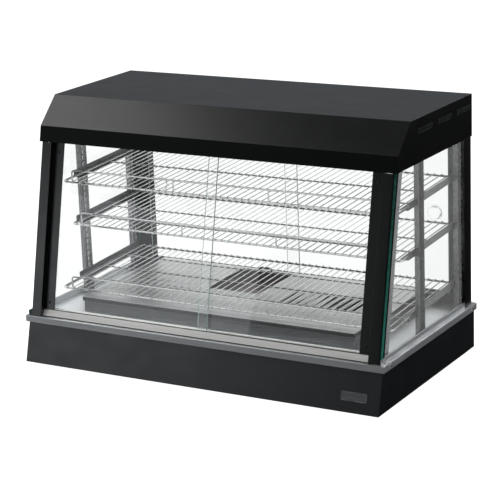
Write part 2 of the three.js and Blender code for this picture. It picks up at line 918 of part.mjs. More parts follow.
function makeLamp() {
  const z = ceilingZ - lampDrop;
  const half = halfWidth - lampEndMargin;
  const tube = new THREE.CylinderGeometry(lampRadius, lampRadius, 2 * half, 20);
  tube.rotateZ(Math.PI / 2);
  tube.translate(0, lampY, z);
  addPart('lamp_tube', tube, enamel);
  for (const { name, side } of sides) {
    const near = side * (half + gap);
    const far = side * (half + gap + socketSize);
    const socket = box(
      Math.min(near, far),
      Math.max(near, far),
      lampY - socketSize / 2,
      lampY + socketSize / 2,
      z - lampRadius - 2,
      ceilingZ - gap,
    );
    addPart(`lamp_socket_${name}`, socket, enamel);
  }
}

// Rear controls

const panelFaceY = panelBackY + linerSheet;

function makePanel() {
  const half = panelWidth / 2;
  const outerY = baseDepth + gap;
  const pan = box(
    panelX - half,
    panelX + half,
    panelBackY,
    outerY,
    panelZ - panelHeight / 2,
    panelZ + panelHeight / 2,
  );
  const hollow = box(
    panelX - half + linerSheet,
    panelX + half - linerSheet,
    panelFaceY,
    outerY + 5,
    panelZ - panelHeight / 2 + linerSheet,
    panelZ + panelHeight / 2 - linerSheet,
  );
  const y0 = panelBackY - 2;
  const y1 = panelFaceY + 2;
  const tools = [
    hollow,
    disc(shaftRadius + shaftClearance, y0, y1, knobX, panelZ, 20),
    disc(gaugeRadius - gaugeRim + gap, y0, y1, gaugeX, panelZ, 36),
  ];
  for (const rocker of rockerRows) {
    const holeX = rockerWidth / 2 + rockerClearance + switchWall + gap;
    const holeZ = rockerLength / 2 + rockerClearance + switchWall + gap;
    const x = panelX + rocker.offset;
    tools.push(box(x - holeX, x + holeX, y0, y1, panelZ - holeZ, panelZ + holeZ));
  }
  addPart('control_panel', cut(pan, tools), steel);
}

function makeThermostat() {
  const faceY = panelFaceY + gap + 0.4;
  const knob = disc(knobRadius, faceY, faceY + knobDepth - 3, knobX, panelZ, 32);
  const ridge = box(
    knobX - 2.2,
    knobX + 2.2,
    faceY + 1,
    faceY + knobDepth,
    panelZ - knobRadius + 0.6,
    panelZ + knobRadius - 0.6,
  );
  const shaft = disc(shaftRadius, faceY - shaftLength, faceY + 1, knobX, panelZ, 16);
  addPart('thermostat_knob', join([knob, ridge, shaft]), plastic);

  const bodyY = panelBackY - gap;
  const body = box(knobX - 20, knobX + 20, bodyY - 30, bodyY, panelZ - 18, panelZ + 18);
  const bore = disc(shaftRadius + shaftClearance, bodyY - shaftLength, bodyY + 2, knobX, panelZ, 20);
  addPart('thermostat_body', cut(body, [bore]), enamel);
}

function makeRocker(row) {
  const x = panelX + row.offset;
  const halfX = rockerWidth / 2 + rockerClearance;
  const halfZ = rockerLength / 2 + rockerClearance;
  const rimY = panelFaceY + gap + 1.6;
  const body = join([
    box(
      x - halfX - switchWall,
      x + halfX + switchWall,
      panelFaceY - switchDepth,
      panelFaceY + 1,
      panelZ - halfZ - switchWall,
      panelZ + halfZ + switchWall,
    ),
    box(
      x - halfX - bezelMargin,
      x + halfX + bezelMargin,
      panelFaceY + gap,
      rimY,
      panelZ - halfZ - bezelMargin,
      panelZ + halfZ + bezelMargin,
    ),
  ]);
  const pocket = box(
    x - halfX,
    x + halfX,
    panelFaceY - switchDepth + 3,
    rimY + 5,
    panelZ - halfZ,
    panelZ + halfZ,
  );
  addPart(`${row.name}_switch_body`, cut(body, [pocket]), plastic);

  const half = rockerLength / 2;
  const profile = [
    [2.2, -half],
    [-1.5, -half],
    [-8, -half * 0.45],
    [-8, half * 0.45],
    [-1.5, half],
    [2.2, half],
    [0.9, 0],
  ];
  const rocker = alongX(profile, -rockerWidth / 2, rockerWidth / 2);
  const mesh = addPart(`${row.name}_rocker`, rocker, row.name === 'power' ? redPaint : plastic);
  mesh.position.set(x, rimY, panelZ);
  mesh.rotation.x = THREE.MathUtils.degToRad(rockerTilt);
}

function makeGauge() {
  const bezelY = panelFaceY + gap;
  const radius = gaugeRadius;
  const barrel = radius - gaugeRim;
  const profile = [
    [0, bezelY - gaugeDepth],
    [barrel, bezelY - gaugeDepth],
    [barrel, bezelY],
    [radius, bezelY],
    [radius, bezelY + 4],
    [radius - 1.2, bezelY + 4],
    [radius - 1.2, bezelY + 1.2],
    [barrel - 1.2, bezelY + 1.2],
    [barrel - 1.2, bezelY - 3],
    [0, bezelY - 3],
  ];
  const gaugeCase = new THREE.LatheGeometry(profile.map(([r, y]) => new THREE.Vector2(r, y)), 36);
  gaugeCase.translate(gaugeX, 0, panelZ);
  addPart('thermometer_case', gaugeCase, chrome);

  const needleY = bezelY - 2.2;
  const hub = disc(2.4, needleY, needleY + 1.6, gaugeX, panelZ, 16);
  const length = barrel - 4;
  const blade = new THREE.ExtrudeGeometry(outline([[-1.1, -5], [1.1, -5], [0.4, length], [-0.4, length]]), {
    depth: 0.8,
    bevelEnabled: false,
  });
  blade.rotateX(Math.PI / 2);
  blade.rotateY(THREE.MathUtils.degToRad(-135));
  blade.translate(gaugeX, needleY + 1.2, panelZ);
  addPart('thermometer_needle', join([hub, blade]), redPaint);

  const lens = disc(radius - 1.2 - gap, bezelY + 1.2 + gap, bezelY + 3.2, gaugeX, panelZ, 36);
  addPart('thermometer_lens', lens, clearGlass);
}

function makeGland() {
  const outerY = baseDepth;
  const profile = [
    [glandBore, outerY - 8],
    [glandRadius - gap, outerY - 8],
    [glandRadius - gap, outerY + gap / 2],
    [glandRadius + 3, outerY + gap / 2],
    [glandRadius + 3, outerY + rearOverhang],
    [glandBore, outerY + rearOverhang],
    [glandBore, outerY - 8],
  ];
  const gland = new THREE.LatheGeometry(profile.map(([r, y]) => new THREE.Vector2(r, y)), 24);
  gland.translate(glandX, 0, panelZ);
  addPart('cord_gland', gland, rubber);
}

makeBase();
makeFeet();
makeDeck();
makeHeater();
makeWaterPan();
makeElement();
makeTracks();
for (const { name, side } of sides) {
  makeFrontPost(name, side);
  makeFrontJamb(name, side);
  makeRearPost(name, side);
  makeSideGlass(name, side);
  makeSideSill(name, side);
}
makeFrontDoors();
makeRearDoors();
makeShelving();
makeHood();
makeCeiling();
makeLamp();
makePanel();
makeThermostat();
for (const row of rockerRows) {
  makeRocker(row);
}
makeGauge();
makeGland();

// The finished case stands with the middle of its footprint on the origin.
const group = new THREE.Group();
const middleY = (baseFrontY(footHeight) + baseDepth + rearOverhang) / 2;
assembly.position.y = -middleY;
group.add(assembly);

export default group;
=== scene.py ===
import json
import math
import bpy
from mathutils import Matrix, Vector

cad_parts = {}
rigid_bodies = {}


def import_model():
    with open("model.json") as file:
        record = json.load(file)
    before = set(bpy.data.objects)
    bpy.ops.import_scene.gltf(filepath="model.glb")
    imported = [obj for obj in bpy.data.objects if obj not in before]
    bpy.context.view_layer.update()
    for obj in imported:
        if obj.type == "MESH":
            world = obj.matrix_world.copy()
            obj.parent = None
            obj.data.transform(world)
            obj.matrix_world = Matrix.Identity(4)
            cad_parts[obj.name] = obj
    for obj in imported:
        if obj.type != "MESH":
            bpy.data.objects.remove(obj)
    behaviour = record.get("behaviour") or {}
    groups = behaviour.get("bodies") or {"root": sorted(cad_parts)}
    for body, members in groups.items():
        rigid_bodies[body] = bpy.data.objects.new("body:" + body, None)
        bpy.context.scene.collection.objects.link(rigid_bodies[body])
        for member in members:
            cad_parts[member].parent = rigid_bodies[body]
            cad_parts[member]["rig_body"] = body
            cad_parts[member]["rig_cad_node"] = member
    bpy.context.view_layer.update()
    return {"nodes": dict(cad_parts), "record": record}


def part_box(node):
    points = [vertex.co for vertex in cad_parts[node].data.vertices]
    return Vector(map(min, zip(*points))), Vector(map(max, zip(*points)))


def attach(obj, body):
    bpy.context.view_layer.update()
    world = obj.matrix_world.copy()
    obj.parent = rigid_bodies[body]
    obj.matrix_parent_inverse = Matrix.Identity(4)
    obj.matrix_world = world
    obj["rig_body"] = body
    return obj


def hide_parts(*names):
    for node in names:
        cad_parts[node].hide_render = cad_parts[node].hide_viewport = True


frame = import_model()
nodes = frame["nodes"]
bodyOf = {node: body for body, members in frame["record"]["behaviour"]["bodies"].items() for node in members}
bpy.context.scene.view_settings.view_transform = "Standard"
print("frame loaded:", len(nodes), "nodes")

# camera and studio
cameraSet = {
    "place": (2.0893, -3.6143, 1.4199),
    "azimuth": 0.523133,
    "elevation": 0.271335,
    "roll": -0.03582,
    "lens": 137.29,
    "shift": (0.0033, 0.0015),
}


def addCamera(values):
    data = bpy.data.cameras.new("studioCamera")
    data.lens = values["lens"]
    data.sensor_width = 36
    data.shift_x, data.shift_y = values["shift"]
    data.clip_end = 60
    camera = bpy.data.objects.new("studioCamera", data)
    bpy.context.scene.collection.objects.link(camera)
    turn = Matrix.Rotation(values["azimuth"], 4, "Z")
    tilt = Matrix.Rotation(math.pi / 2 - values["elevation"], 4, "X")
    roll = Matrix.Rotation(values["roll"], 4, "Z")
    camera.matrix_world = Matrix.Translation(values["place"]) @ turn @ tilt @ roll
    bpy.context.scene.camera = camera


addCamera(cameraSet)

lightSet = [
    # name, place, aims at, width, height, watts, tint
    ("leftBank", (-1.5, -0.5, 1.9), (-0.2, 0.0, 0.5), 1.2, 1.0, 10.5, (1.0, 1.0, 1.0)),
    ("lowLeft", (-1.9, -2.35, 0.40), (-0.3, 0.0, 0.10), 1.5, 0.6, 8.5, (0.93, 0.97, 1.0)),
    ("frontFill", (1.5, -2.7, 2.7), (0.0, 0.0, 0.25), 1.8, 1.0, 26, (1.0, 1.0, 0.99)),
    ("topBank", (0.2, 0.9, 2.4), (0.0, 0.1, 0.3), 1.4, 0.9, 8, (1.0, 1.0, 1.0)),
    ("backLow", (-1.06, 1.93, 1.19), (0.0, 0.05, 0.60), 3.0, 0.9, 1.6, (0.80, 0.90, 1.0)),
    ("rightKick", (2.4, -0.2, 1.2), (0.3, 0.0, 0.3), 0.6, 0.8, 6, (1.0, 1.0, 1.0)),
    ("rearFill", (1.9, 2.7, 1.3), (0.0, 0.2, 0.3), 1.6, 1.2, 20, (1.0, 1.0, 1.0)),
]


def addLights(rows):
    for name, place, target, width, height, watts, tint in rows:
        data = bpy.data.lights.new(name, "AREA")
        data.shape = "RECTANGLE"
        data.size = width
        data.size_y = height
        data.energy = watts
        data.color = tint
        lamp = bpy.data.objects.new(name, data)
        bpy.context.scene.collection.objects.link(lamp)
        lamp.visible_camera = False
        lamp.visible_transmission = False
        aim = Vector(target) - Vector(place)
        lamp.matrix_world = Matrix.Translation(place) @ aim.to_track_quat("-Z", "Y").to_matrix().to_4x4()


addLights(lightSet)

# small node helpers
def feed(tree, value, socket):
    # a socket is linked, a plain value is set
    if isinstance(value, bpy.types.NodeSocket):
        tree.links.new(value, socket)
    else:
        socket.default_value = value


def mathNode(tree, operation, first, second, clamp=False):
    node = tree.nodes.new("ShaderNodeMath")
    node.operation = operation
    node.use_clamp = clamp
    feed(tree, first, node.inputs[0])
    feed(tree, second, node.inputs[1])
    return node.outputs[0]


def noiseNode(tree, vector, scale, detail=3, roughness=0.5):
    node = tree.nodes.new("ShaderNodeTexNoise")
    for label, value in (("Vector", vector), ("Scale", scale), ("Detail", detail), ("Roughness", roughness)):
        feed(tree, value, node.inputs[label])
    return node.outputs["Fac"]


def stretched(tree, vector, scale):
    node = tree.nodes.new("ShaderNodeVectorMath")
    node.operation = "MULTIPLY"
    feed(tree, vector, node.inputs[0])
    feed(tree, scale, node.inputs[1])
    return node.outputs[0]


def rangeNode(tree, value, low, high, outLow=0.0, outHigh=1.0):
    node = tree.nodes.new("ShaderNodeMapRange")
    node.inputs["From Min"].default_value = low
    node.inputs["From Max"].default_value = high
    node.inputs["To Min"].default_value = outLow
    node.inputs["To Max"].default_value = outHigh
    feed(tree, value, node.inputs["Value"])
    return node.outputs[0]


worldSet = {
    "seen": (1, 1, 1), "seenStrength": 1.12,
    "left": 0.16, "right": 0.03, "sideFade": (-0.75, 0.55),
    "low": 0.5, "lowFade": (-0.3, 0.1),
}


def addWorld(values):
    # a bank of soft sky that fades from the left to the right
    world = bpy.data.worlds.new("studioWorld")
    bpy.context.scene.world = world
    world.use_nodes = True
    tree = world.node_tree
    tree.nodes.clear()
    place = tree.nodes.new("ShaderNodeTexCoord")
    split = tree.nodes.new("ShaderNodeSeparateXYZ")
    tree.links.new(place.outputs["Generated"], split.inputs[0])
    side = rangeNode(tree, split.outputs["X"], *values["sideFade"], values["left"], values["right"])
    side.node.interpolation_type = "SMOOTHSTEP"
    low = rangeNode(tree, split.outputs["Z"], *values["lowFade"], values["low"], 1)
    soft = tree.nodes.new("ShaderNodeBackground")
    tree.links.new(mathNode(tree, "MULTIPLY", side, low), soft.inputs["Strength"])
    seen = tree.nodes.new("ShaderNodeBackground")
    seen.inputs["Color"].default_value = (*values["seen"], 1)
    seen.inputs["Strength"].default_value = values["seenStrength"]
    # the bright backdrop is seen directly and through the panes
    path = tree.nodes.new("ShaderNodeLightPath")
    direct = mathNode(tree, "MAXIMUM", path.outputs["Is Camera Ray"], path.outputs["Is Transmission Ray"])
    pick = tree.nodes.new("ShaderNodeMixShader")
    tree.links.new(direct, pick.inputs[0])
    tree.links.new(soft.outputs[0], pick.inputs[1])
    tree.links.new(seen.outputs[0], pick.inputs[2])
    out = tree.nodes.new("ShaderNodeOutputWorld")
    tree.links.new(pick.outputs[0], out.inputs[0])


addWorld(worldSet)
print("camera and lights ready")


# shared node groups
def startGroup(name, takes, gives):
    group = bpy.data.node_groups.new(name, "ShaderNodeTree")
    for label, kind, value in takes:
        socket = group.interface.new_socket(name=label, in_out="INPUT", socket_type=kind)
        socket.default_value = value
    for label, kind in gives:
        group.interface.new_socket(name=label, in_out="OUTPUT", socket_type=kind)
    return group, group.nodes.new("NodeGroupInput"), group.nodes.new("NodeGroupOutput")


def blended(tree, first, firstShare, second, secondShare):
    one = mathNode(tree, "MULTIPLY", first, firstShare)
    return mathNode(tree, "ADD", one, mathNode(tree, "MULTIPLY", second, secondShare))


edgeWearAndHighlightSet = {"samples": 4, "flat": 0.985, "sharp": 0.82, "patch": (0.38, 0.62)}


def makeEdgeWearAndHighlight(values):
    # rubbed wear along the line where two faces meet, lightened further as a painted edge highlight
    group, take, give = startGroup(
        "edgeWearAndHighlight",
        [
            ("Radius", "NodeSocketFloat", 0.0015),
            ("Breakup", "NodeSocketFloat", 60.0),
            ("Amount", "NodeSocketFloat", 1.0),
        ],
        [("Mask", "NodeSocketFloat")],
    )
    rounded = group.nodes.new("ShaderNodeBevel")
    rounded.samples = values["samples"]
    group.links.new(take.outputs["Radius"], rounded.inputs["Radius"])
    shape = group.nodes.new("ShaderNodeNewGeometry")
    dot = group.nodes.new("ShaderNodeVectorMath")
    dot.operation = "DOT_PRODUCT"
    group.links.new(rounded.outputs[0], dot.inputs[0])
    group.links.new(shape.outputs["True Normal"], dot.inputs[1])
    edge = rangeNode(group, dot.outputs["Value"], values["flat"], values["sharp"])
    place = group.nodes.new("ShaderNodeTexCoord")
    speckle = noiseNode(group, place.outputs["Object"], take.outputs["Breakup"], 4)
    both = mathNode(group, "MULTIPLY", edge, rangeNode(group, speckle, *values["patch"]))
    final = mathNode(group, "MULTIPLY", both, take.outputs["Amount"], True)
    group.links.new(final, give.inputs["Mask"])
    return group


dustSet = {"down": 0.15, "cloud": (0.35, 0.75), "wipe": (5.0, 9.0, 26.0), "smear": (0.4, 0.72)}


def makeDust(values):
    # film of dust and hand marks: thicker where a face looks up
    group, take, give = startGroup(
        "dustFilm",
        [("Scale", "NodeSocketFloat", 9.0), ("Amount", "NodeSocketFloat", 0.4)],
        [("Mask", "NodeSocketFloat"), ("Smear", "NodeSocketFloat")],
    )
    place = group.nodes.new("ShaderNodeTexCoord")
    shape = group.nodes.new("ShaderNodeNewGeometry")
    split = group.nodes.new("ShaderNodeSeparateXYZ")
    group.links.new(shape.outputs["Normal"], split.inputs[0])
    up = rangeNode(group, split.outputs["Z"], -0.2, 1.0, values["down"], 1.0)
    drift = noiseNode(group, place.outputs["Object"], take.outputs["Scale"], 6, 0.62)
    cloud = rangeNode(group, drift, *values["cloud"])
    mask = mathNode(group, "MULTIPLY", mathNode(group, "MULTIPLY", up, cloud), take.outputs["Amount"], True)
    group.links.new(mask, give.inputs["Mask"])
    wipe = stretched(group, place.outputs["Object"], values["wipe"])
    smear = rangeNode(group, noiseNode(group, wipe, 2.2, 5, 0.6), *values["smear"])
    group.links.new(smear, give.inputs["Smear"])
    return group


def makePeel():
    # fine pebbled skin of powder coat
    group, take, give = startGroup(
        "powderSkin",
        [("Scale", "NodeSocketFloat", 900.0), ("Waves", "NodeSocketFloat", 55.0)],
        [("Height", "NodeSocketFloat"), ("Value", "NodeSocketFloat")],
    )
    place = group.nodes.new("ShaderNodeTexCoord")
    fine = noiseNode(group, place.outputs["Object"], take.outputs["Scale"], 2)
    wide = noiseNode(group, place.outputs["Object"], take.outputs["Waves"], 3)
    group.links.new(blended(group, fine, 0.7, wide, 0.3), give.inputs["Height"])
    group.links.new(rangeNode(group, wide, 0.3, 0.7), give.inputs["Value"])
    return group


def makeBrushed():
    # long fine scratches left by a belt, along the direction with the small scale
    group, take, give = startGroup(
        "brushedGrain",
        [("Along", "NodeSocketVector", (6.0, 900.0, 900.0)), ("Strength", "NodeSocketFloat", 1.0)],
        [("Height", "NodeSocketFloat"), ("Value", "NodeSocketFloat")],
    )
    place = group.nodes.new("ShaderNodeTexCoord")
    belt = stretched(group, place.outputs["Object"], take.outputs["Along"])
    lines = noiseNode(group, belt, 1.0, 4, 0.65)
    slower = group.nodes.new("ShaderNodeVectorMath")
    slower.operation = "SCALE"
    slower.inputs["Scale"].default_value = 0.22
    group.links.new(belt, slower.inputs[0])
    wide = noiseNode(group, slower.outputs[0], 1.0, 3, 0.5)
    both = blended(group, lines, 0.6, wide, 0.4)
    value = mathNode(group, "MULTIPLY", rangeNode(group, both, 0.34, 0.66), take.outputs["Strength"], True)
    group.links.new(value, give.inputs["Value"])
    group.links.new(both, give.inputs["Height"])
    return group


edgeWearAndHighlight = makeEdgeWearAndHighlight(edgeWearAndHighlightSet)
dustFilm = makeDust(dustSet)
powderSkin = makePeel()
brushedGrain = makeBrushed()


def useGroup(tree, group, **values):
    node = tree.nodes.new("ShaderNodeGroup")
    node.node_tree = group
    for label, value in values.items():
        node.inputs[label].default_value = value
    return node


def mixColour(tree, factor, first, second):
    node = tree.nodes.new("ShaderNodeMix")
    node.data_type = "RGBA"
    tree.links.new(factor, node.inputs[0])
    for value, socket in ((first, node.inputs[6]), (second, node.inputs[7])):
        feed(tree, (*value, 1) if isinstance(value, tuple) else value, socket)
    return node.outputs[2]


def startMaterial(name, **shaderValues):
    material = bpy.data.materials.new(name)
    material.use_nodes = True
    shader = material.node_tree.nodes["Principled BSDF"]
    for label, value in shaderValues.items():
        shader.inputs[label.replace("_", " ")].default_value = value
    return material, material.node_tree, shader


def bumpFrom(tree, shader, height, strength, distance=0.0002):
    bump = tree.nodes.new("ShaderNodeBump")
    bump.inputs["Strength"].default_value = strength
    bump.inputs["Distance"].default_value = distance
    tree.links.new(height, bump.inputs["Height"])
    tree.links.new(bump.outputs[0], shader.inputs["Normal"])


# finishes
paintSet = {
    # finish: deep tone, pale tone, roughness, gloss
    "hoodBlack": ((0.0024, 0.0032, 0.0037), (0.0040, 0.0050, 0.0057), (0.310, 0.335), 0.5),
    # base: a paler, greyer copy of the black paint, painted reflection of the pale floor
    "baseBlackPaintedReflection": ((0.0085, 0.0105, 0.0125), (0.0115, 0.0140, 0.0165), (0.36, 0.41), 0.5),
    # louvre blades: the black hood paint made grey, painted light where the blades catch it
    "louvrePaintedLight": ((0.018, 0.021, 0.023), (0.030, 0.034, 0.037), (0.30, 0.36), 0.4),
    # fascia and hood sides: a darker, less glossy copy of the hood paint, painted shade
    "fasciaPaintedShade": ((0.0018, 0.0024, 0.0027), (0.0028, 0.0035, 0.0038), (0.40, 0.44), 0.10),
    "postBlack": ((0.0022, 0.0028, 0.0030), (0.0038, 0.0046, 0.0050), (0.300, 0.345), 0.42),
}


# the rubbed colour lightens edges: rubbed wear and a painted edge highlight
paintFilm = {"dust": (0.022, 0.023, 0.024), "rubbedAndHighlit": (0.040, 0.044, 0.046), "smear": 0.02}


def makePaint(name, values):
    deep, pale, rough, gloss = values
    material, tree, shader = startMaterial(name, Specular_IOR_Level=gloss)
    skin = useGroup(tree, powderSkin, Scale=1600.0, Waves=24.0)
    wearAndHighlight = useGroup(tree, edgeWearAndHighlight, Radius=0.0014, Breakup=70.0, Amount=0.5)
    film = useGroup(tree, dustFilm, Scale=5.0, Amount=0.05)
    tone = mixColour(tree, skin.outputs["Value"], deep, pale)
    dusty = mixColour(tree, film.outputs["Mask"], tone, paintFilm["dust"])
    wornAndHighlit = mixColour(tree, wearAndHighlight.outputs["Mask"], dusty, paintFilm["rubbedAndHighlit"])
    tree.links.new(wornAndHighlit, shader.inputs["Base Color"])
    sheen = mathNode(tree, "ADD", rangeNode(tree, skin.outputs["Value"], 0, 1, *rough),
                     mathNode(tree, "MULTIPLY", film.outputs["Smear"], paintFilm["smear"]))
    tree.links.new(sheen, shader.inputs["Roughness"])
    bumpFrom(tree, shader, skin.outputs["Height"], 0.10, 0.0001)
    return material


steelSet = {
    "brushedSteel": {"deep": (0.46, 0.47, 0.48), "pale": (0.62, 0.62, 0.62), "rough": (0.26, 0.40),
                     "along": (5.0, 700.0, 700.0), "dust": 0.30, "wornAndHighlit": 0.7},
    "deckSteel": {"deep": (0.72, 0.745, 0.77), "pale": (0.86, 0.88, 0.90), "rough": (0.28, 0.40),
                  "along": (3.0, 520.0, 520.0), "dust": 0.25, "wornAndHighlit": 0.8},
    "lipSteel": {"deep": (0.70, 0.72, 0.74), "pale": (0.84, 0.85, 0.87), "rough": (0.48, 0.58),
                 "along": (3.0, 520.0, 520.0), "dust": 0.20, "wornAndHighlit": 1.0, "metal": 0.94},
    # heater box and name plate: stainless made dark, painted shade
    "heaterSteelPaintedShade": {"deep": (0.11, 0.113, 0.117), "pale": (0.19, 0.194, 0.198), "rough": (0.24, 0.38),
                    "along": (4.0, 600.0, 600.0), "dust": 0.30, "wornAndHighlit": 0.9},
    # upright faces of the heater cover: the same stainless made near black, painted shade
    "skirtSteelPaintedShade": {"deep": (0.030, 0.030, 0.032), "pale": (0.065, 0.065, 0.068), "rough": (0.26, 0.38),
                   "along": (4.0, 600.0, 600.0), "dust": 0.10, "wornAndHighlit": 1.0},
    "panSteel": {"deep": (0.070, 0.062, 0.052), "pale": (0.16, 0.145, 0.125), "rough": (0.30, 0.45),
                 "along": (8.0, 300.0, 300.0), "dust": 0.15, "wornAndHighlit": 0.6},
    # a dark copy of the chrome wire: painted shade under the shelf mats and on the pan handle
    "wirePaintedShade": {"deep": (0.10, 0.10, 0.105), "pale": (0.18, 0.18, 0.185), "rough": (0.16, 0.28),
                 "along": (90.0, 90.0, 90.0), "dust": 0.10, "wornAndHighlit": 0.3},
    # tracks, hood ceiling and clips: stainless made paler and partly non-metal, painted light
    "trackSteelPaintedLight": {"deep": (0.88, 0.875, 0.86), "pale": (0.95, 0.945, 0.93), "rough": (0.34, 0.46),
                   "along": (3.0, 620.0, 620.0), "dust": 0.12, "wornAndHighlit": 0.6, "metal": 0.55},
    # pilasters: bright stainless made dark, painted shade
    "channelSteelPaintedShade": {"deep": (0.09, 0.092, 0.096), "pale": (0.18, 0.182, 0.186), "rough": (0.20, 0.32),
                     "along": (600.0, 600.0, 4.0), "dust": 0.12, "wornAndHighlit": 0.6},
    # shelf rails and front jambs: stainless made dark, painted shade; the full edge mark gives them a painted
    # edge highlight
    "railSteelPaintedShade": {"deep": (0.07, 0.072, 0.076), "pale": (0.14, 0.142, 0.146), "rough": (0.24, 0.36),
                  "along": (600.0, 5.0, 600.0), "dust": 0.12, "wornAndHighlit": 1.0},
    "chromeWire": {"deep": (0.50, 0.51, 0.52), "pale": (0.70, 0.70, 0.70), "rough": (0.08, 0.20),
                   "along": (90.0, 90.0, 90.0), "dust": 0.20, "wornAndHighlit": 0.4},
}


# the rubbed colour lightens edges: rubbed wear and a painted edge highlight, strongest on the darkened steels
steelFilm = {"dust": (0.46, 0.46, 0.46), "rubbedAndHighlit": (0.92, 0.92, 0.91), "smear": 0.10}


def makeSteel(name, values):
    material, tree, shader = startMaterial(name, Metallic=values.get("metal", 1.0))
    grain = useGroup(tree, brushedGrain, Along=values["along"], Strength=1.0)
    film = useGroup(tree, dustFilm, Scale=13.0, Amount=values["dust"])
    wearAndHighlight = useGroup(tree, edgeWearAndHighlight, Radius=0.0010, Breakup=45.0, Amount=values["wornAndHighlit"])
    tone = mixColour(tree, grain.outputs["Value"], values["deep"], values["pale"])
    dull = mixColour(tree, film.outputs["Mask"], tone, steelFilm["dust"])
    wornAndHighlit = mixColour(tree, wearAndHighlight.outputs["Mask"], dull, steelFilm["rubbedAndHighlit"])
    tree.links.new(wornAndHighlit, shader.inputs["Base Color"])
    rough = mathNode(tree, "ADD", rangeNode(tree, grain.outputs["Value"], 0, 1, *values["rough"]),
                     mathNode(tree, "MULTIPLY", film.outputs["Smear"], steelFilm["smear"]))
    tree.links.new(rough, shader.inputs["Roughness"])
    bumpFrom(tree, shader, grain.outputs["Height"], 0.12, 0.0001)
    return material


glassSet = {
    "frontGlass": {"face": (0.0, -0.9774, 0.2113), "clear": (0.988, 0.995, 0.992),
                   "hazy": (0.972, 0.984, 0.979)},
    "sideGlass": {"face": (1.0, 0.0, 0.0), "clear": (0.988, 0.995, 0.992), "hazy": (0.974, 0.986, 0.981)},
    "rearGlass": {"face": (0.0, 1.0, 0.0), "clear": (0.988, 0.995, 0.992), "hazy": (0.972, 0.984, 0.979)},
    "clearCup": {"face": (0.0, 1.0, 0.0), "clear": (0.985, 0.990, 0.988), "hazy": (0.960, 0.970, 0.968)},
}
paneSet = {"refraction": 1.3, "shadowTint": (0.93, 0.96, 0.95, 1), "smear": 0.012}


def makeGlass(name, values):
    material, tree, shader = startMaterial(
        name, Transmission_Weight=1.0, IOR=paneSet["refraction"], Metallic=0.0,
    )
    film = useGroup(tree, dustFilm, Scale=4.0, Amount=0.5)
    place = tree.nodes.new("ShaderNodeTexCoord")
    cloud = rangeNode(tree, noiseNode(tree, place.outputs["Object"], 3.5, 4), 0.35, 0.65)
    tree.links.new(mixColour(tree, cloud, values["clear"], values["hazy"]), shader.inputs["Base Color"])
    haze = mathNode(tree, "MULTIPLY", film.outputs["Smear"], paneSet["smear"])
    tree.links.new(haze, shader.inputs["Roughness"])
    # lamps shine through the panes
    tint = tree.nodes.new("ShaderNodeBsdfTransparent")
    tint.inputs[0].default_value = paneSet["shadowTint"]
    path = tree.nodes.new("ShaderNodeLightPath")
    pick = tree.nodes.new("ShaderNodeMixShader")
    tree.links.new(path.outputs["Is Shadow Ray"], pick.inputs[0])
    tree.links.new(shader.outputs[0], pick.inputs[1])
    tree.links.new(tint.outputs[0], pick.inputs[2])
    tree.links.new(pick.outputs[0], tree.nodes["Material Output"].inputs["Surface"])
    return material


edgeSet = {
    "sideEdge": {"head": (0.010, 0.070, 0.050), "foot": (0.040, 0.30, 0.23), "chipGlint": (0.10, 0.46, 0.38),
                 "paintedGlow": 0.10, "from": 0.12, "to": 0.42},
    "doorEdge": {"head": (0.20, 0.27, 0.26), "foot": (0.36, 0.46, 0.44), "chipGlint": (0.55, 0.64, 0.62),
                 "paintedGlow": 0.16, "from": 0.12, "to": 0.42},
}


def makeCutEdge(name, values):
    # ground edge of float glass: greener towards the foot, with painted glints of brighter colour on its
    # chips and a faint painted glow over the whole edge
    material, tree, shader = startMaterial(name, Specular_IOR_Level=0.6)
    place = tree.nodes.new("ShaderNodeTexCoord")
    split = tree.nodes.new("ShaderNodeSeparateXYZ")
    tree.links.new(place.outputs["Object"], split.inputs[0])
    height = rangeNode(tree, split.outputs["Z"], values["from"], values["to"])
    chips = rangeNode(tree, noiseNode(tree, place.outputs["Object"], 220.0, 5, 0.6), 0.42, 0.7)
    upright = stretched(tree, place.outputs["Object"], (900.0, 900.0, 7.0))
    bands = rangeNode(tree, noiseNode(tree, upright, 1.0, 3), 0.3, 0.7)
    tone = mixColour(tree, height, values["foot"], values["head"])
    shade = mixColour(tree, mathNode(tree, "MULTIPLY", bands, 0.35), tone, values["head"])
    final = mixColour(tree, mathNode(tree, "MULTIPLY", chips, 0.30), shade, values["chipGlint"])
    tree.links.new(final, shader.inputs["Base Color"])
    # the edge colour is also emitted: a painted glow, the edge being no lamp
    tree.links.new(final, shader.inputs["Emission Color"])
    tree.links.new(rangeNode(tree, chips, 0, 1, 0.10, 0.24), shader.inputs["Roughness"])
    shader.inputs["Emission Strength"].default_value = values["paintedGlow"]
    bumpFrom(tree, shader, chips, 0.15, 0.0001)
    return material


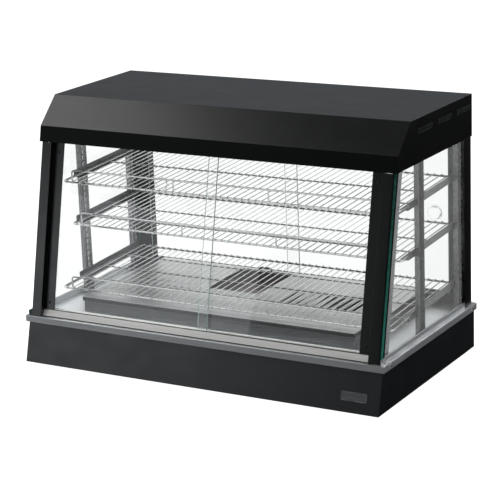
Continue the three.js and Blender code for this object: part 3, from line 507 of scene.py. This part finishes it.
plasticSet = {
    # finish: deep tone, pale tone, roughness, grain, bump
    "blackPlastic": ((0.010, 0.010, 0.011), (0.020, 0.020, 0.021), (0.38, 0.52), 1500.0, 0.4),
    "redPlastic": ((0.38, 0.012, 0.008), (0.50, 0.025, 0.016), (0.25, 0.38), 900.0, 0.2),
    "footRubber": ((0.010, 0.010, 0.010), (0.022, 0.022, 0.021), (0.65, 0.85), 800.0, 0.6),
    "whiteEnamel": ((0.70, 0.69, 0.66), (0.82, 0.81, 0.78), (0.22, 0.36), 500.0, 0.2),
    "lampGlass": ((0.80, 0.81, 0.80), (0.88, 0.88, 0.87), (0.12, 0.22), 300.0, 0.1),
    "elementSheath": ((0.060, 0.050, 0.045), (0.16, 0.13, 0.11), (0.42, 0.62), 260.0, 0.5),
    # seal grey: dark enough to stand in for the shadow gap at the track, painted shade
    "sealPaintedShade": ((0.035, 0.036, 0.037), (0.060, 0.061, 0.062), (0.50, 0.66), 1200.0, 0.4),
    "dialWhite": ((0.78, 0.78, 0.76), (0.85, 0.85, 0.83), (0.35, 0.45), 900.0, 0.1),
    "markInk": ((0.012, 0.012, 0.013), (0.022, 0.022, 0.023), (0.45, 0.6), 900.0, 0.1),
    "markWhite": ((0.62, 0.62, 0.60), (0.72, 0.72, 0.70), (0.42, 0.55), 900.0, 0.1),
}


def makePlastic(name, values):
    deep, pale, rough, grainScale, bump = values
    material, tree, shader = startMaterial(name, Specular_IOR_Level=0.5)
    place = tree.nodes.new("ShaderNodeTexCoord")
    grain = noiseNode(tree, place.outputs["Object"], grainScale, 3)
    cloud = noiseNode(tree, place.outputs["Object"], 38.0, 4)
    film = useGroup(tree, dustFilm, Scale=22.0, Amount=0.2)
    tone = mixColour(tree, rangeNode(tree, cloud, 0.3, 0.7), deep, pale)
    dust = tuple(min(1, c * 1.5 + 0.02) for c in pale)
    tree.links.new(mixColour(tree, film.outputs["Mask"], tone, dust), shader.inputs["Base Color"])
    tree.links.new(rangeNode(tree, grain, 0.3, 0.7, *rough), shader.inputs["Roughness"])
    bumpFrom(tree, shader, grain, bump, 0.00015)
    return material


finishes = {name: makePaint(name, values) for name, values in paintSet.items()}
finishes.update({name: makeSteel(name, values) for name, values in steelSet.items()})
finishes.update({name: makeGlass(name, values) for name, values in glassSet.items()})
finishes.update({name: makePlastic(name, values) for name, values in plasticSet.items()})
finishes.update({name: makeCutEdge(name, values) for name, values in edgeSet.items()})
print("finishes ready:", len(finishes))


# modelling helpers
def enterEdit():
    bpy.ops.object.mode_set(mode="EDIT")


def leaveEdit():
    bpy.ops.object.mode_set(mode="OBJECT")


def clearSelection():
    if bpy.context.object and bpy.context.object.mode != "OBJECT":
        leaveEdit()
    bpy.ops.object.select_all(action="DESELECT")


def makeActive(piece):
    clearSelection()
    bpy.context.view_layer.objects.active = piece
    piece.select_set(True)


def setApplied(piece):
    makeActive(piece)
    bpy.ops.object.transform_apply(location=True, rotation=True, scale=True)


def startPicking(piece, kind):
    bpy.context.view_layer.objects.active = piece
    enterEdit()
    bpy.ops.mesh.select_mode(type=kind)
    bpy.ops.mesh.select_all(action="DESELECT")
    leaveEdit()


def pickFaces(piece, test):
    # leaves edit mode on, with only the faces that pass the test selected
    startPicking(piece, "FACE")
    for face in piece.data.polygons:
        face.select = bool(test(face.center, face.normal))
    enterEdit()


def pickEdges(piece, test):
    startPicking(piece, "EDGE")
    points = piece.data.vertices
    for edge in piece.data.edges:
        edge.select = bool(test(points[edge.vertices[0]].co, points[edge.vertices[1]].co))
    enterEdit()


def addBlock(name, low, high):
    clearSelection()
    low, high = Vector(low), Vector(high)
    bpy.ops.mesh.primitive_cube_add(size=1, location=(low + high) / 2, scale=high - low)
    piece = bpy.context.object
    piece.name = name
    setApplied(piece)
    return piece


def addRound(name, radius, start, end, sides=16):
    clearSelection()
    start, end = Vector(start), Vector(end)
    along = end - start
    bpy.ops.mesh.primitive_cylinder_add(
        vertices=sides, radius=radius, depth=along.length, location=(start + end) / 2,
        rotation=along.to_track_quat("Z", "Y").to_euler(),
    )
    piece = bpy.context.object
    piece.name = name
    setApplied(piece)
    return piece


def softenEdges(piece, width, segments=2, angle=32):
    makeActive(piece)
    bevel = piece.modifiers.new("softEdges", "BEVEL")
    bevel.width = width
    bevel.segments = segments
    bevel.limit_method = "ANGLE"
    bevel.angle_limit = math.radians(angle)
    bevel.use_clamp_overlap = True
    bpy.ops.object.modifier_apply(modifier=bevel.name)
    return piece


def mergeClose(piece):
    makeActive(piece)
    enterEdit()
    bpy.ops.mesh.select_all(action="SELECT")
    bpy.ops.mesh.remove_doubles(threshold=0.000002)
    leaveEdit()


def shadeByAngle(piece, angle=34):
    makeActive(piece)
    bpy.ops.object.shade_smooth_by_angle(angle=math.radians(angle))


def flattenBroadFaces(piece):
    # broad faces keep their own flat normal, the small bevels carry the turn
    makeActive(piece)
    weighted = piece.modifiers.new("broadFlat", "WEIGHTED_NORMAL")
    weighted.keep_sharp = True
    weighted.weight = 100
    bpy.ops.object.modifier_apply(modifier=weighted.name)


def joinPieces(pieces, name):
    clearSelection()
    for piece in pieces:
        piece.select_set(True)
    bpy.context.view_layer.objects.active = pieces[0]
    bpy.ops.object.join()
    pieces[0].name = name
    return pieces[0]


def finishPiece(piece, finish, body, angle=34, replaced=()):
    piece.data.materials.clear()
    piece.data.materials.append(finishes[finish])
    shadeByAngle(piece, angle)
    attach(piece, body)
    if replaced:
        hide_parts(*replaced)
    return piece


def copyShifted(piece, name, move):
    clearSelection()
    twin = piece.copy()
    twin.data = piece.data.copy()
    twin.name = name
    bpy.context.scene.collection.objects.link(twin)
    twin.data.transform(Matrix.Translation(move))
    return twin


def takeShape(nodeName):
    # a merged copy of a frame node, free to be worked on
    source = nodes[nodeName]
    piece = source.copy()
    piece.data = source.data.copy()
    piece.name = nodeName + ".formed"
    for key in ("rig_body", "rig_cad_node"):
        if key in piece:
            del piece[key]
    piece.parent = None
    bpy.context.scene.collection.objects.link(piece)
    makeActive(piece)
    enterEdit()
    bpy.ops.mesh.select_all(action="SELECT")
    bpy.ops.mesh.remove_doubles(threshold=0.00002)
    bpy.ops.mesh.dissolve_limited(angle_limit=math.radians(0.8))
    bpy.ops.mesh.select_all(action="DESELECT")
    leaveEdit()
    bpy.ops.mesh.customdata_custom_splitnormals_clear()
    return piece


def bendEdges(piece, test, radius, segments=4):
    pickEdges(piece, test)
    bpy.ops.mesh.bevel(offset=radius, segments=segments, affect="EDGES", clamp_overlap=True)
    leaveEdit()


# sheet metal and glass from the frame
# node: finish, slot, edge width, segments
formedSet = {
    "deck_pan": ("deckSteel", "stainless", 0.0010, 3),
    "base_shell": ("baseBlackPaintedReflection", "black_paint", 0.0006, 2),
    "hood_shell": ("hoodBlack", "black_paint", 0.0005, 2),
    "heater_box": ("heaterSteelPaintedShade", "stainless", 0.0005, 2),
    "water_pan": ("panSteel", "bright_stainless", 0.0005, 2),
    "heater_cover": ("brushedSteel", "stainless", 0.0003, 2),
    "front_bottom_track": ("trackSteelPaintedLight", "bright_stainless", 0.0005, 2),
    "front_top_track": ("trackSteelPaintedLight", "bright_stainless", 0.0005, 2),
    "rear_bottom_track": ("postBlack", "black_paint", 0.0005, 2),
    "rear_top_track": ("trackSteelPaintedLight", "bright_stainless", 0.0005, 2),
    "control_panel": ("brushedSteel", "stainless", 0.0004, 2),
    "front_door_left": ("frontGlass", "clear_glass", 0.0005, 2),
    "front_door_right": ("frontGlass", "clear_glass", 0.0005, 2),
    "rear_door_left": ("rearGlass", "clear_glass", 0.0005, 2),
    "rear_door_right": ("rearGlass", "clear_glass", 0.0005, 2),
    "lamp_socket_left": ("whiteEnamel", "white_moulding", 0.0020, 3),
    "lamp_socket_right": ("whiteEnamel", "white_moulding", 0.0020, 3),
}
for end in ("left", "right"):
    formedSet["front_post_" + end] = ("postBlack", "black_paint", 0.0006, 2)
    formedSet["rear_post_" + end] = ("postBlack", "black_paint", 0.0006, 2)
    formedSet["front_jamb_" + end] = ("railSteelPaintedShade", "stainless", 0.0004, 2)
    formedSet["side_sill_" + end] = ("lipSteel", "bright_stainless", 0.0005, 2)
    formedSet["side_glass_" + end] = ("sideGlass", "clear_glass", 0.0005, 2)
    formedSet["pilaster_front_" + end] = ("channelSteelPaintedShade", "bright_stainless", 0.0004, 2)
    formedSet["pilaster_rear_" + end] = ("channelSteelPaintedShade", "bright_stainless", 0.0004, 2)
    for tier in ("bottom", "middle", "top"):
        formedSet["shelf_rail_" + tier + "_" + end] = ("railSteelPaintedShade", "stainless", 0.0005, 2)


def paintCutEdges(piece, broad, finish):
    piece.data.materials.append(finishes[finish])
    face = Vector(broad)
    for polygon in piece.data.polygons:
        if abs(polygon.normal.dot(face)) < 0.9:
            polygon.material_index = 1


# upright faces of these take a second material; on the hood and the heater cover it is a darker copy of their
# own paint or steel, painted shade
turnedFaces = {"deck_pan": "lipSteel", "heater_cover": "skirtSteelPaintedShade", "hood_shell": "fasciaPaintedShade"}


def paintTurned(piece, finish):
    piece.data.materials.append(finishes[finish])
    for polygon in piece.data.polygons:
        if abs(polygon.normal.z) < 0.35:
            polygon.material_index = 1


def formSheetMetal():
    for nodeName, (finish, slot, width, segments) in formedSet.items():
        piece = takeShape(nodeName)
        softenEdges(piece, width, segments)
        finishPiece(piece, finish, bodyOf[nodeName], 34, [nodeName])
        flattenBroadFaces(piece)
        if finish in glassSet:
            edgeFinish = "sideEdge" if finish == "sideGlass" else "doorEdge"
            paintCutEdges(piece, glassSet[finish]["face"], edgeFinish)
        if nodeName in turnedFaces:
            paintTurned(piece, turnedFaces[nodeName])
    print("formed", len(formedSet), "frame pieces")


formSheetMetal()

# nodes whose shape is right keep it and take a finish
keptSet = {
    "heating_element": "elementSheath",
    "hood_ceiling": "trackSteelPaintedLight",
    "lamp_tube": "lampGlass",
    "base_bottom_plate": "brushedSteel",
    "thermostat_knob": "blackPlastic",
    "thermostat_body": "whiteEnamel",
    "power_switch_body": "blackPlastic",
    "light_switch_body": "blackPlastic",
    "power_rocker": "redPlastic",
    "light_rocker": "blackPlastic",
    "thermometer_case": "chromeWire",
    "thermometer_needle": "redPlastic",
    "thermometer_lens": "rearGlass",
    "cord_gland": "footRubber",
}
for end in ("left", "right"):
    keptSet["rear_pull_" + end] = "clearCup"
    keptSet["foot_front_" + end] = "footRubber"
    keptSet["foot_rear_" + end] = "footRubber"
for nodeName, finish in keptSet.items():
    mesh = nodes[nodeName].data
    for index in range(max(1, len(mesh.materials))):
        if index < len(mesh.materials):
            mesh.materials[index] = finishes[finish]
        else:
            mesh.materials.append(finishes[finish])
print("kept nodes finished")

# wire shelves
shelfSet = {
    "wire": 0.00125, "wireSides": 8, "pitch": 0.0176, "crossRod": 0.0018, "rim": 0.0025, "rimSides": 10,
    "curlDrop": 0.0050, "curlRadius": 0.0032,
    "tilt": 2.7, "rimHeight": 0.0075, "unshadedFrontRun": 0.05, "sideMargin": 0.0066, "rimPress": 0.0004,
    "crossPress": 0.0003, "rimBend": 0.009, "guardGap": 0.0012,
    "bottom": {"rods": (0.24, 0.495, 0.75)},
    "middle": {"rods": (0.24, 0.54)},
    "top": {"rods": (0.285, 0.575)},
    "guardHeight": 0.026, "guardEnd": 0.028, "guardBend": 0.007, "guardRod": 0.0020, "guardPost": 0.1215,
}


def bentRod(name, radius, points, bend, sides=10):
    # runs a round section through the corners of a flat path, turning each one on a bend
    points = [Vector(point) for point in points]
    first = (points[1] - points[0]).normalized()
    clearSelection()
    bpy.ops.mesh.primitive_circle_add(
        vertices=sides, radius=radius, fill_type="NGON", location=points[0],
        rotation=first.to_track_quat("Z", "Y").to_euler(),
    )
    rod = bpy.context.object
    rod.name = name
    setApplied(rod)
    enterEdit()
    bpy.ops.mesh.select_all(action="SELECT")
    spot = points[0]
    for index in range(1, len(points)):
        heading = (points[index] - points[index - 1]).normalized()
        last = index == len(points) - 1
        cutBack = 0
        if not last:
            leaving = (points[index + 1] - points[index]).normalized()
            turn = heading.angle(leaving)
            cutBack = bend * math.tan(turn / 2)
        goal = points[index] - heading * cutBack
        bpy.ops.mesh.extrude_region_move(TRANSFORM_OT_translate={"value": goal - spot})
        spot = goal
        if last:
            break
        axis = heading.cross(leaving).normalized()
        centre = spot + bend * axis.cross(heading)
        bpy.ops.mesh.spin(steps=4, angle=turn, center=centre, axis=-axis)
        spot = points[index] + leaving * cutBack
    bpy.ops.mesh.select_all(action="SELECT")
    bpy.ops.mesh.remove_doubles(threshold=0.00001)
    bpy.ops.mesh.normals_make_consistent(inside=False)
    leaveEdit()
    return rod


def makeShelf(tier, values):
    # woven level, then tipped up about its front edge like the node it stands for
    low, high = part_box("shelf_" + tier)
    tilt = math.radians(values["tilt"])
    half = high.x
    rim = values["rim"]
    wire = values["wire"]
    startY = low.y + values["guardHeight"] * math.sin(tilt)
    top = low.z + values["rimHeight"] * math.cos(tilt)
    depth = (high.y - startY - values["rimHeight"] * math.sin(tilt)) / math.cos(tilt)
    endY = startY + depth
    frontY = startY + rim
    backY = endY - rim
    wireZ = top - wire
    pieces = []
    # one wire: over the front rim and curled down in front of it
    run = half - values["sideMargin"]
    count = round(2 * run / values["pitch"])
    step = 2 * run / count
    curl = values["curlRadius"]
    one = bentRod("wireOne", wire, [
        (-run + step / 2, startY + wire, top - values["curlDrop"] - wire),
        (-run + step / 2, startY + wire, wireZ),
        (-run + step / 2, endY - wire, wireZ),
        (-run + step / 2, endY - wire, top - values["curlDrop"] - wire),
    ], curl * 0.8, values["wireSides"])
    makeActive(one)
    repeat = one.modifiers.new("row", "ARRAY")
    repeat.count = count
    repeat.use_relative_offset = False
    repeat.use_constant_offset = True
    repeat.constant_offset_displace = (step, 0, 0)
    bpy.ops.object.modifier_apply(modifier=repeat.name)
    pieces.append(one)
    # frame rod round the mat, with the corners bent
    rimZ = top - 2 * wire - rim + values["rimPress"]
    rimFront = frontY + wire * 2
    rimBack = backY - wire * 2
    rimSide = half - rim
    rimLoop = bentRod("rimLoop", rim, [
        (0, rimBack, rimZ), (rimSide, rimBack, rimZ), (rimSide, rimFront, rimZ),
        (-rimSide, rimFront, rimZ), (-rimSide, rimBack, rimZ), (0, rimBack, rimZ),
    ], values["rimBend"], values["rimSides"])
    pickFaces(rimLoop, lambda centre, normal: abs(normal.x) > 0.99 and abs(centre.x) < 0.00001)
    bpy.ops.mesh.delete(type="FACE")
    leaveEdit()
    pieces.append(rimLoop)
    # cross rods under the wires
    for share in values[tier]["rods"]:
        y = startY + share * depth
        z = top - 2 * wire - values["crossRod"] + values["crossPress"]
        pieces.append(addRound("crossRod", values["crossRod"], (-rimSide, y, z), (rimSide, y, z), 8))
    # guard rail with bent ends and two short posts
    guard = values["guardRod"]
    guardX = half - values["guardEnd"] - guard
    guardZ = top + values["guardHeight"] - guard
    guardY = startY + wire + guard + values["guardGap"]
    pieces.append(bentRod("guardRail", guard, [
        (-guardX, guardY, rimZ), (-guardX, guardY, guardZ), (guardX, guardY, guardZ), (guardX, guardY, rimZ),
    ], values["guardBend"], 10))
    for x in (-values["guardPost"], values["guardPost"]):
        pieces.append(addRound("guardPost", guard * 0.9, (x, guardY, rimZ), (x, guardY, guardZ), 8))
    shelf = joinPieces(pieces, "wire_shelf_" + tier)
    finishPiece(shelf, "chromeWire", "cabinet", 50, ["shelf_" + tier])
    # rods under the mat, back from the front run, take the dark copy of the chrome: painted shade
    shelf.data.materials.append(finishes["wirePaintedShade"])
    for polygon in shelf.data.polygons:
        if polygon.center.z < top - 2 * wire - 0.0002 and polygon.center.y > startY + values["unshadedFrontRun"]:
            polygon.material_index = 1
    hinge = Vector((0, startY, top))
    tip = Matrix.Rotation(tilt, 4, "X")
    shelf.data.transform(Matrix.Translation(hinge) @ tip @ Matrix.Translation(-hinge))
    return shelf


for tier in ("bottom", "middle", "top"):
    makeShelf(tier, shelfSet)
print("shelves woven")

# small fittings
def broadFace(nodeName, heading):
    # a point on the largest facet that looks along the heading, and its normal
    mesh = nodes[nodeName].data
    aim = Vector(heading)
    facing = [face for face in mesh.polygons if face.normal.dot(aim) > 0.9]
    largest = max(facing, key=lambda face: face.area)
    return largest.center.copy(), largest.normal.copy()


def onFace(face, x, z):
    point, normal = face
    return Vector((x, point.y - (normal.x * (x - point.x) + normal.z * (z - point.z)) / normal.y, z))


def standOn(place, outward):
    return Matrix.Translation(place) @ Vector(outward).to_track_quat("Z", "Y").to_matrix().to_4x4()


def copyStood(piece, name, place, outward):
    twin = copyShifted(piece, name, (0, 0, 0))
    twin.data.transform(standOn(place, outward))
    return twin


screwSet = {"head": 0.0032, "rise": 0.0017, "bed": 0.0006, "socket": 0.0012, "sink": 0.0011, "bevel": 0.0007}


def modelScrew(values):
    # pan head with a round driver socket, standing on the origin and looking up
    screw = addRound("screwModel", values["head"], (0, 0, -values["bed"]), (0, 0, values["rise"]), 24)
    bendEdges(screw, lambda a, b: min(a.z, b.z) > values["rise"] * 0.9, values["bevel"], 3)
    pickFaces(screw, lambda centre, normal: normal.z > 0.99 and centre.to_2d().length < 0.0001)
    bpy.ops.mesh.inset(thickness=values["head"] - values["bevel"] - values["socket"])
    bpy.ops.mesh.extrude_region_move(TRANSFORM_OT_translate={"value": (0, 0, -values["sink"])})
    leaveEdit()
    return screw


def driveScrews(name, rows, finish):
    model = modelScrew(screwSet)
    twins = [copyStood(model, name + "One", place, outward) for place, outward in rows]
    bpy.data.objects.remove(model)
    return finishPiece(joinPieces(twins, name), finish, "cabinet", 40)


clipSet = {"width": 0.013, "drop": 0.011, "sheet": 0.0014, "inward": 0.010,
           "fromFront": 0.030, "fromBack": 0.028, "bend": 0.0004}


def makeCornerClips(values):
    # bent tabs that hold the side panes down on the deck
    low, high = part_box("deck_pan")
    clips, screws = [], []
    for end in (-1, 1):
        for y in (low.y + values["fromFront"], high.y - values["fromBack"]):
            inner, outer = sorted((end * high.x, end * (high.x + values["sheet"])))
            clip = addBlock("clipOne", (inner, y - values["width"] / 2, high.z - values["drop"]),
                            (outer, y + values["width"] / 2, high.z + values["sheet"]))
            enterEdit()
            bpy.ops.mesh.select_all(action="SELECT")
            bpy.ops.mesh.bisect(plane_co=(0, 0, high.z), plane_no=(0, 0, 1))
            leaveEdit()
            pickFaces(clip, lambda centre, normal: normal.x * end < -0.9 and centre.z > high.z)
            inward = (-end * values["inward"], 0, 0)
            bpy.ops.mesh.extrude_region_move(TRANSFORM_OT_translate={"value": inward})
            leaveEdit()
            clips.append(softenEdges(clip, values["bend"], 2))
            place = Vector((end * (high.x + values["sheet"]), y, high.z - values["drop"] / 2))
            screws.append((place, (end, 0, 0)))
    finishPiece(joinPieces(clips, "corner_clips"), "trackSteelPaintedLight", "cabinet")
    driveScrews("clip_screws", screws, "chromeWire")


makeCornerClips(clipSet)

badgeSet = {"width": 0.062, "height": 0.020, "rise": 0.0016, "corner": 0.004, "rim": 0.0016, "well": 0.0005,
            "fromEnd": 0.060, "lift": 0.034}


def makeBadge(values):
    # plain rounded plate near the right end of the base
    low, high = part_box("base_shell")
    face = broadFace("base_shell", (0, -1, 0))
    place = onFace(face, high.x - values["fromEnd"], low.z + values["lift"])
    half = (values["width"] / 2, values["height"] / 2)
    plate = addBlock("name_plate", (-half[0], -half[1], -0.0002), (half[0], half[1], values["rise"]))
    bendEdges(plate, lambda a, b: abs(a.z - b.z) > values["rise"] / 2, values["corner"], 6)
    pickFaces(plate, lambda centre, normal: normal.z > 0.99)
    bpy.ops.mesh.inset(thickness=values["rim"])
    bpy.ops.mesh.extrude_region_move(TRANSFORM_OT_translate={"value": (0, 0, -values["well"])})
    leaveEdit()
    softenEdges(plate, 0.00010, 1, 50)
    mergeClose(plate)
    plate.data.transform(standOn(place, face[1]))
    finishPiece(plate, "heaterSteelPaintedShade", "cabinet")


makeBadge(badgeSet)

fixingSet = {"postInward": 0.0145, "postDrop": 0.022, "postLift": 0.030, "panelEdge": 0.009,
             "hoodEdge": 0.030, "hoodLift": 0.018, "hoodCount": 5}


def placeFixings(values):
    posts, panel, hood = [], [], []
    for end, sign in (("left", -1), ("right", 1)):
        low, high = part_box("front_post_" + end)
        face = broadFace("front_post_" + end, (0, -1, 0))
        x = (high.x if sign < 0 else low.x) + sign * values["postInward"]
        for z in (low.z + values["postLift"], high.z - values["postDrop"]):
            posts.append((onFace(face, x, z), face[1]))
    driveScrews("post_screws", posts, "blackPlastic")
    low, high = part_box("control_panel")
    edge = values["panelEdge"]
    for x in (low.x + edge, high.x - edge):
        for z in (low.z + edge, high.z - edge):
            panel.append((Vector((x, high.y, z)), (0, 1, 0)))
    driveScrews("panel_screws", panel, "chromeWire")
    low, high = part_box("hood_shell")
    for index in range(values["hoodCount"]):
        share = index / (values["hoodCount"] - 1)
        x = low.x + values["hoodEdge"] + share * (high.x - low.x - 2 * values["hoodEdge"])
        hood.append((Vector((x, high.y, low.z + values["hoodLift"])), (0, 1, 0)))
    driveScrews("hood_screws", hood, "chromeWire")


placeFixings(fixingSet)

shadedSealSet = {"proud": 0.0016, "height": 0.0016, "beadFromFront": 0.0101, "beadWide": 0.0014}


def makeShadedSeals(values):
    # dark bead between the deck and the front track; its dark grey, and that of the bead on top of the track,
    # is also painted shade for the shadow gap there
    low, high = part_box("front_bottom_track")
    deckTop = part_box("deck_pan")[1].z
    bead = addBlock("front_seal_shade", (low.x, low.y - values["proud"], deckTop),
                    (high.x, low.y, deckTop + values["height"]))
    bendEdges(bead, lambda a, b: min(a.z, b.z) > deckTop + 0.001 and max(a.y, b.y) < low.y - 0.001, 0.0008, 3)
    finishPiece(bead, "sealPaintedShade", "cabinet")
    start = low.y + values["beadFromFront"]
    wiper = addBlock("glazing_bead_shade", (low.x + 0.002, start, high.z - 0.0004),
                     (high.x - 0.002, start + values["beadWide"], high.z + values["height"]))
    bendEdges(wiper, lambda a, b: min(a.z, b.z) > high.z + 0.001, 0.0005, 3)
    finishPiece(wiper, "sealPaintedShade", "cabinet")


makeShadedSeals(shadedSealSet)

louvreSet = {"groups": 3, "each": 6, "groupPitch": 0.101, "pitch": 0.0124, "wide": 0.0060, "tall": 0.0120,
             "drop": 0.027, "backMargin": 0.014, "sheet": 0.0010, "turn": 24, "margin": 0.0006}


def makeLouvres(values):
    # pressed blades that stand out over the slots in the sides of the hood
    low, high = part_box("hood_shell")
    run = (values["each"] - 1) * values["pitch"] + values["wide"]
    firstY = high.y - values["backMargin"] - run - (values["groups"] - 1) * values["groupPitch"]
    z = high.z - values["drop"]
    half = values["tall"] / 2 - values["margin"]
    model = addBlock("bladeModel", (-values["sheet"], 0, -half), (0, values["wide"] - values["margin"], half))
    near = 0.0001
    bendEdges(model, lambda a, b: abs(a.z - b.z) < near and abs(a.x - b.x) < near and a.x > -near, 0.0004, 2)
    blades = []
    for sign in (-1, 1):
        for group in range(values["groups"]):
            for index in range(values["each"]):
                y = firstY + group * values["groupPitch"] + index * values["pitch"]
                blade = copyShifted(model, "blade", (0, 0, 0))
                turn = Matrix.Rotation(math.radians(-values["turn"]), 4, "Z")
                flip = Matrix.Diagonal((sign, 1, 1, 1))
                blade.data.transform(Matrix.Translation((sign * high.x, y, z)) @ flip @ turn)
                if sign < 0:
                    blade.data.flip_normals()
                blades.append(blade)
    bpy.data.objects.remove(model)
    # the blades take the grey copy of the hood paint: painted light
    finishPiece(joinPieces(blades, "hood_louvres"), "louvrePaintedLight", "cabinet")


makeLouvres(louvreSet)

handleSet = {"radius": 0.0022, "width": 0.034, "rise": 0.012, "bend": 0.008, "fromBack": 0.006}


def makePanHandle(values):
    # wire lift at the back of the water pan
    low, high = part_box("water_pan")
    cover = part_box("heater_cover")[1].z
    centre = (low.x + high.x) / 2
    y = high.y - values["fromBack"]
    half = values["width"] / 2
    loop = bentRod("pan_handle", values["radius"], [
        (centre - half, y, high.z - 0.004), (centre - half, y, cover + values["rise"]),
        (centre + half, y, cover + values["rise"]), (centre + half, y, high.z - 0.004),
    ], values["bend"], 10)
    # the handle takes the dark copy of the chrome wire: painted shade
    finishPiece(loop, "wirePaintedShade", "cabinet", 50)


makePanHandle(handleSet)

capSet = {"length": 0.012, "proud": 0.0004, "groove": 0.0012, "sink": 0.0003, "gap": 0.0002}


def makeLampCaps(values):
    # metal ferrules at the two ends of the lamp
    low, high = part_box("lamp_tube")
    centre = (low + high) / 2
    radius = (high.z - low.z) / 2 + values["proud"]
    for end, x, sign in (("left", low.x, 1), ("right", high.x, -1)):
        near = x + sign * values["gap"]
        far = near + sign * values["length"]
        cap = addRound("lamp_cap_" + end, radius, (near, centre.y, centre.z), (far, centre.y, centre.z), 32)
        pickFaces(cap, lambda middle, normal: abs(normal.x) < 0.1)
        bpy.ops.mesh.inset(thickness=values["groove"], use_even_offset=True)
        bpy.ops.transform.shrink_fatten(value=-values["sink"])
        leaveEdit()
        softenEdges(cap, 0.0002, 2, 50)
        finishPiece(cap, "chromeWire", "cabinet")


makeLampCaps(capSet)

dialSet = {"sides": 48, "thick": 0.0008, "inset": 0.0006, "behind": 0.0004, "ticks": 31, "sweep": 270,
           "lip": 0.0008, "well": 0.0002, "tickMargin": 0.0016,
           "tickWidth": 0.0005, "tickLong": 0.0026, "tickShort": 0.0015, "tickEvery": 5, "raise": 0.0002}


def makeTickRing(name, centre, y, radius, values, sweep, count):
    # flat strokes on a face that looks along +y, the long ones every few
    marks = []
    for index in range(count):
        angle = math.radians(-sweep / 2 + sweep * index / (count - 1))
        length = values["tickLong"] if index % values["tickEvery"] == 0 else values["tickShort"]
        wide = values["tickWidth"] / 2
        mark = addBlock("mark", (-wide, y, radius - length), (wide, y + values["raise"], radius))
        pickFaces(mark, lambda middle, normal: normal.y > 0.9)
        bpy.ops.mesh.inset(thickness=wide * 0.3)
        leaveEdit()
        turn = Matrix.Rotation(angle, 4, "Y")
        mark.data.transform(Matrix.Translation((centre.x, 0, centre.z)) @ turn)
        marks.append(mark)
    return joinPieces(marks, name)


def makeDial(values):
    low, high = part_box("thermometer_lens")
    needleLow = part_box("thermometer_needle")[0].y
    centre = (low + high) / 2
    radius = (high.z - low.z) / 2 - values["inset"]
    front = needleLow - values["behind"]
    face = addRound("gauge_dial", radius, (centre.x, front - values["thick"], centre.z),
                    (centre.x, front, centre.z), values["sides"])
    pickFaces(face, lambda middle, normal: normal.y > 0.9)
    bpy.ops.mesh.inset(thickness=values["lip"])
    bpy.ops.mesh.extrude_region_move(TRANSFORM_OT_translate={"value": (0, -values["well"], 0)})
    leaveEdit()
    finishPiece(face, "dialWhite", "cabinet")
    ring = makeTickRing("gauge_ticks", centre, front - values["well"], radius - values["tickMargin"],
                        values, values["sweep"], values["ticks"])
    finishPiece(ring, "markInk", "cabinet")


makeDial(dialSet)

knobSet = {"ticks": 11, "sweep": 280, "gap": 0.0030, "pointer": (0.0009, 0.0085), "rise": 0.0004}


def makeKnobMarks(values):
    low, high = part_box("thermostat_knob")
    panelY = broadFace("control_panel", (0, 1, 0))[0].y
    centre = (low + high) / 2
    radius = (high.z - low.z) / 2
    scale = {**dialSet, "tickWidth": 0.0007, "tickEvery": 2}
    ring = makeTickRing("knob_scale", centre, panelY, radius + values["gap"] + scale["tickLong"],
                        scale, values["sweep"], values["ticks"])
    finishPiece(ring, "markInk", "cabinet")
    wide, long = values["pointer"]
    line = addBlock("knob_pointer", (centre.x - wide / 2, high.y - 0.0001, high.z - 0.001 - long),
                    (centre.x + wide / 2, high.y + values["rise"], high.z - 0.001))
    softenEdges(line, 0.00015, 2)
    finishPiece(line, "markWhite", bodyOf["thermostat_knob"])


makeKnobMarks(knobSet)
print("fittings placed")

# floor
floorSet = {"size": 16.0, "shade": (0.90, 0.90, 0.90), "mirrored": (0.02, 0.02, 0.02), "lift": 1.05}


def makeFloor(values):
    clearSelection()
    bpy.ops.mesh.primitive_plane_add(size=values["size"], location=(0, 0, 0))
    floor = bpy.context.object
    floor.name = "studioFloor"
    material, tree, shader = startMaterial("paperSweep", Roughness=0.9, Specular_IOR_Level=0.1)
    place = tree.nodes.new("ShaderNodeTexCoord")
    cloud = noiseNode(tree, place.outputs["Object"], 3.0, 4)
    tone = mixColour(tree, cloud, tuple(c * 0.99 for c in values["shade"]), values["shade"])
    # lit from below like a light table where it is looked at, and dark in the gloss of the case
    path = tree.nodes.new("ShaderNodeLightPath")
    shade = mixColour(tree, path.outputs["Is Glossy Ray"], tone, values["mirrored"])
    tree.links.new(shade, shader.inputs["Base Color"])
    direct = mathNode(tree, "MAXIMUM", path.outputs["Is Camera Ray"], path.outputs["Is Transmission Ray"])
    shader.inputs["Emission Color"].default_value = (1, 1, 1, 1)
    tree.links.new(mathNode(tree, "MULTIPLY", direct, values["lift"]), shader.inputs["Emission Strength"])
    floor.data.materials.append(material)


makeFloor(floorSet)
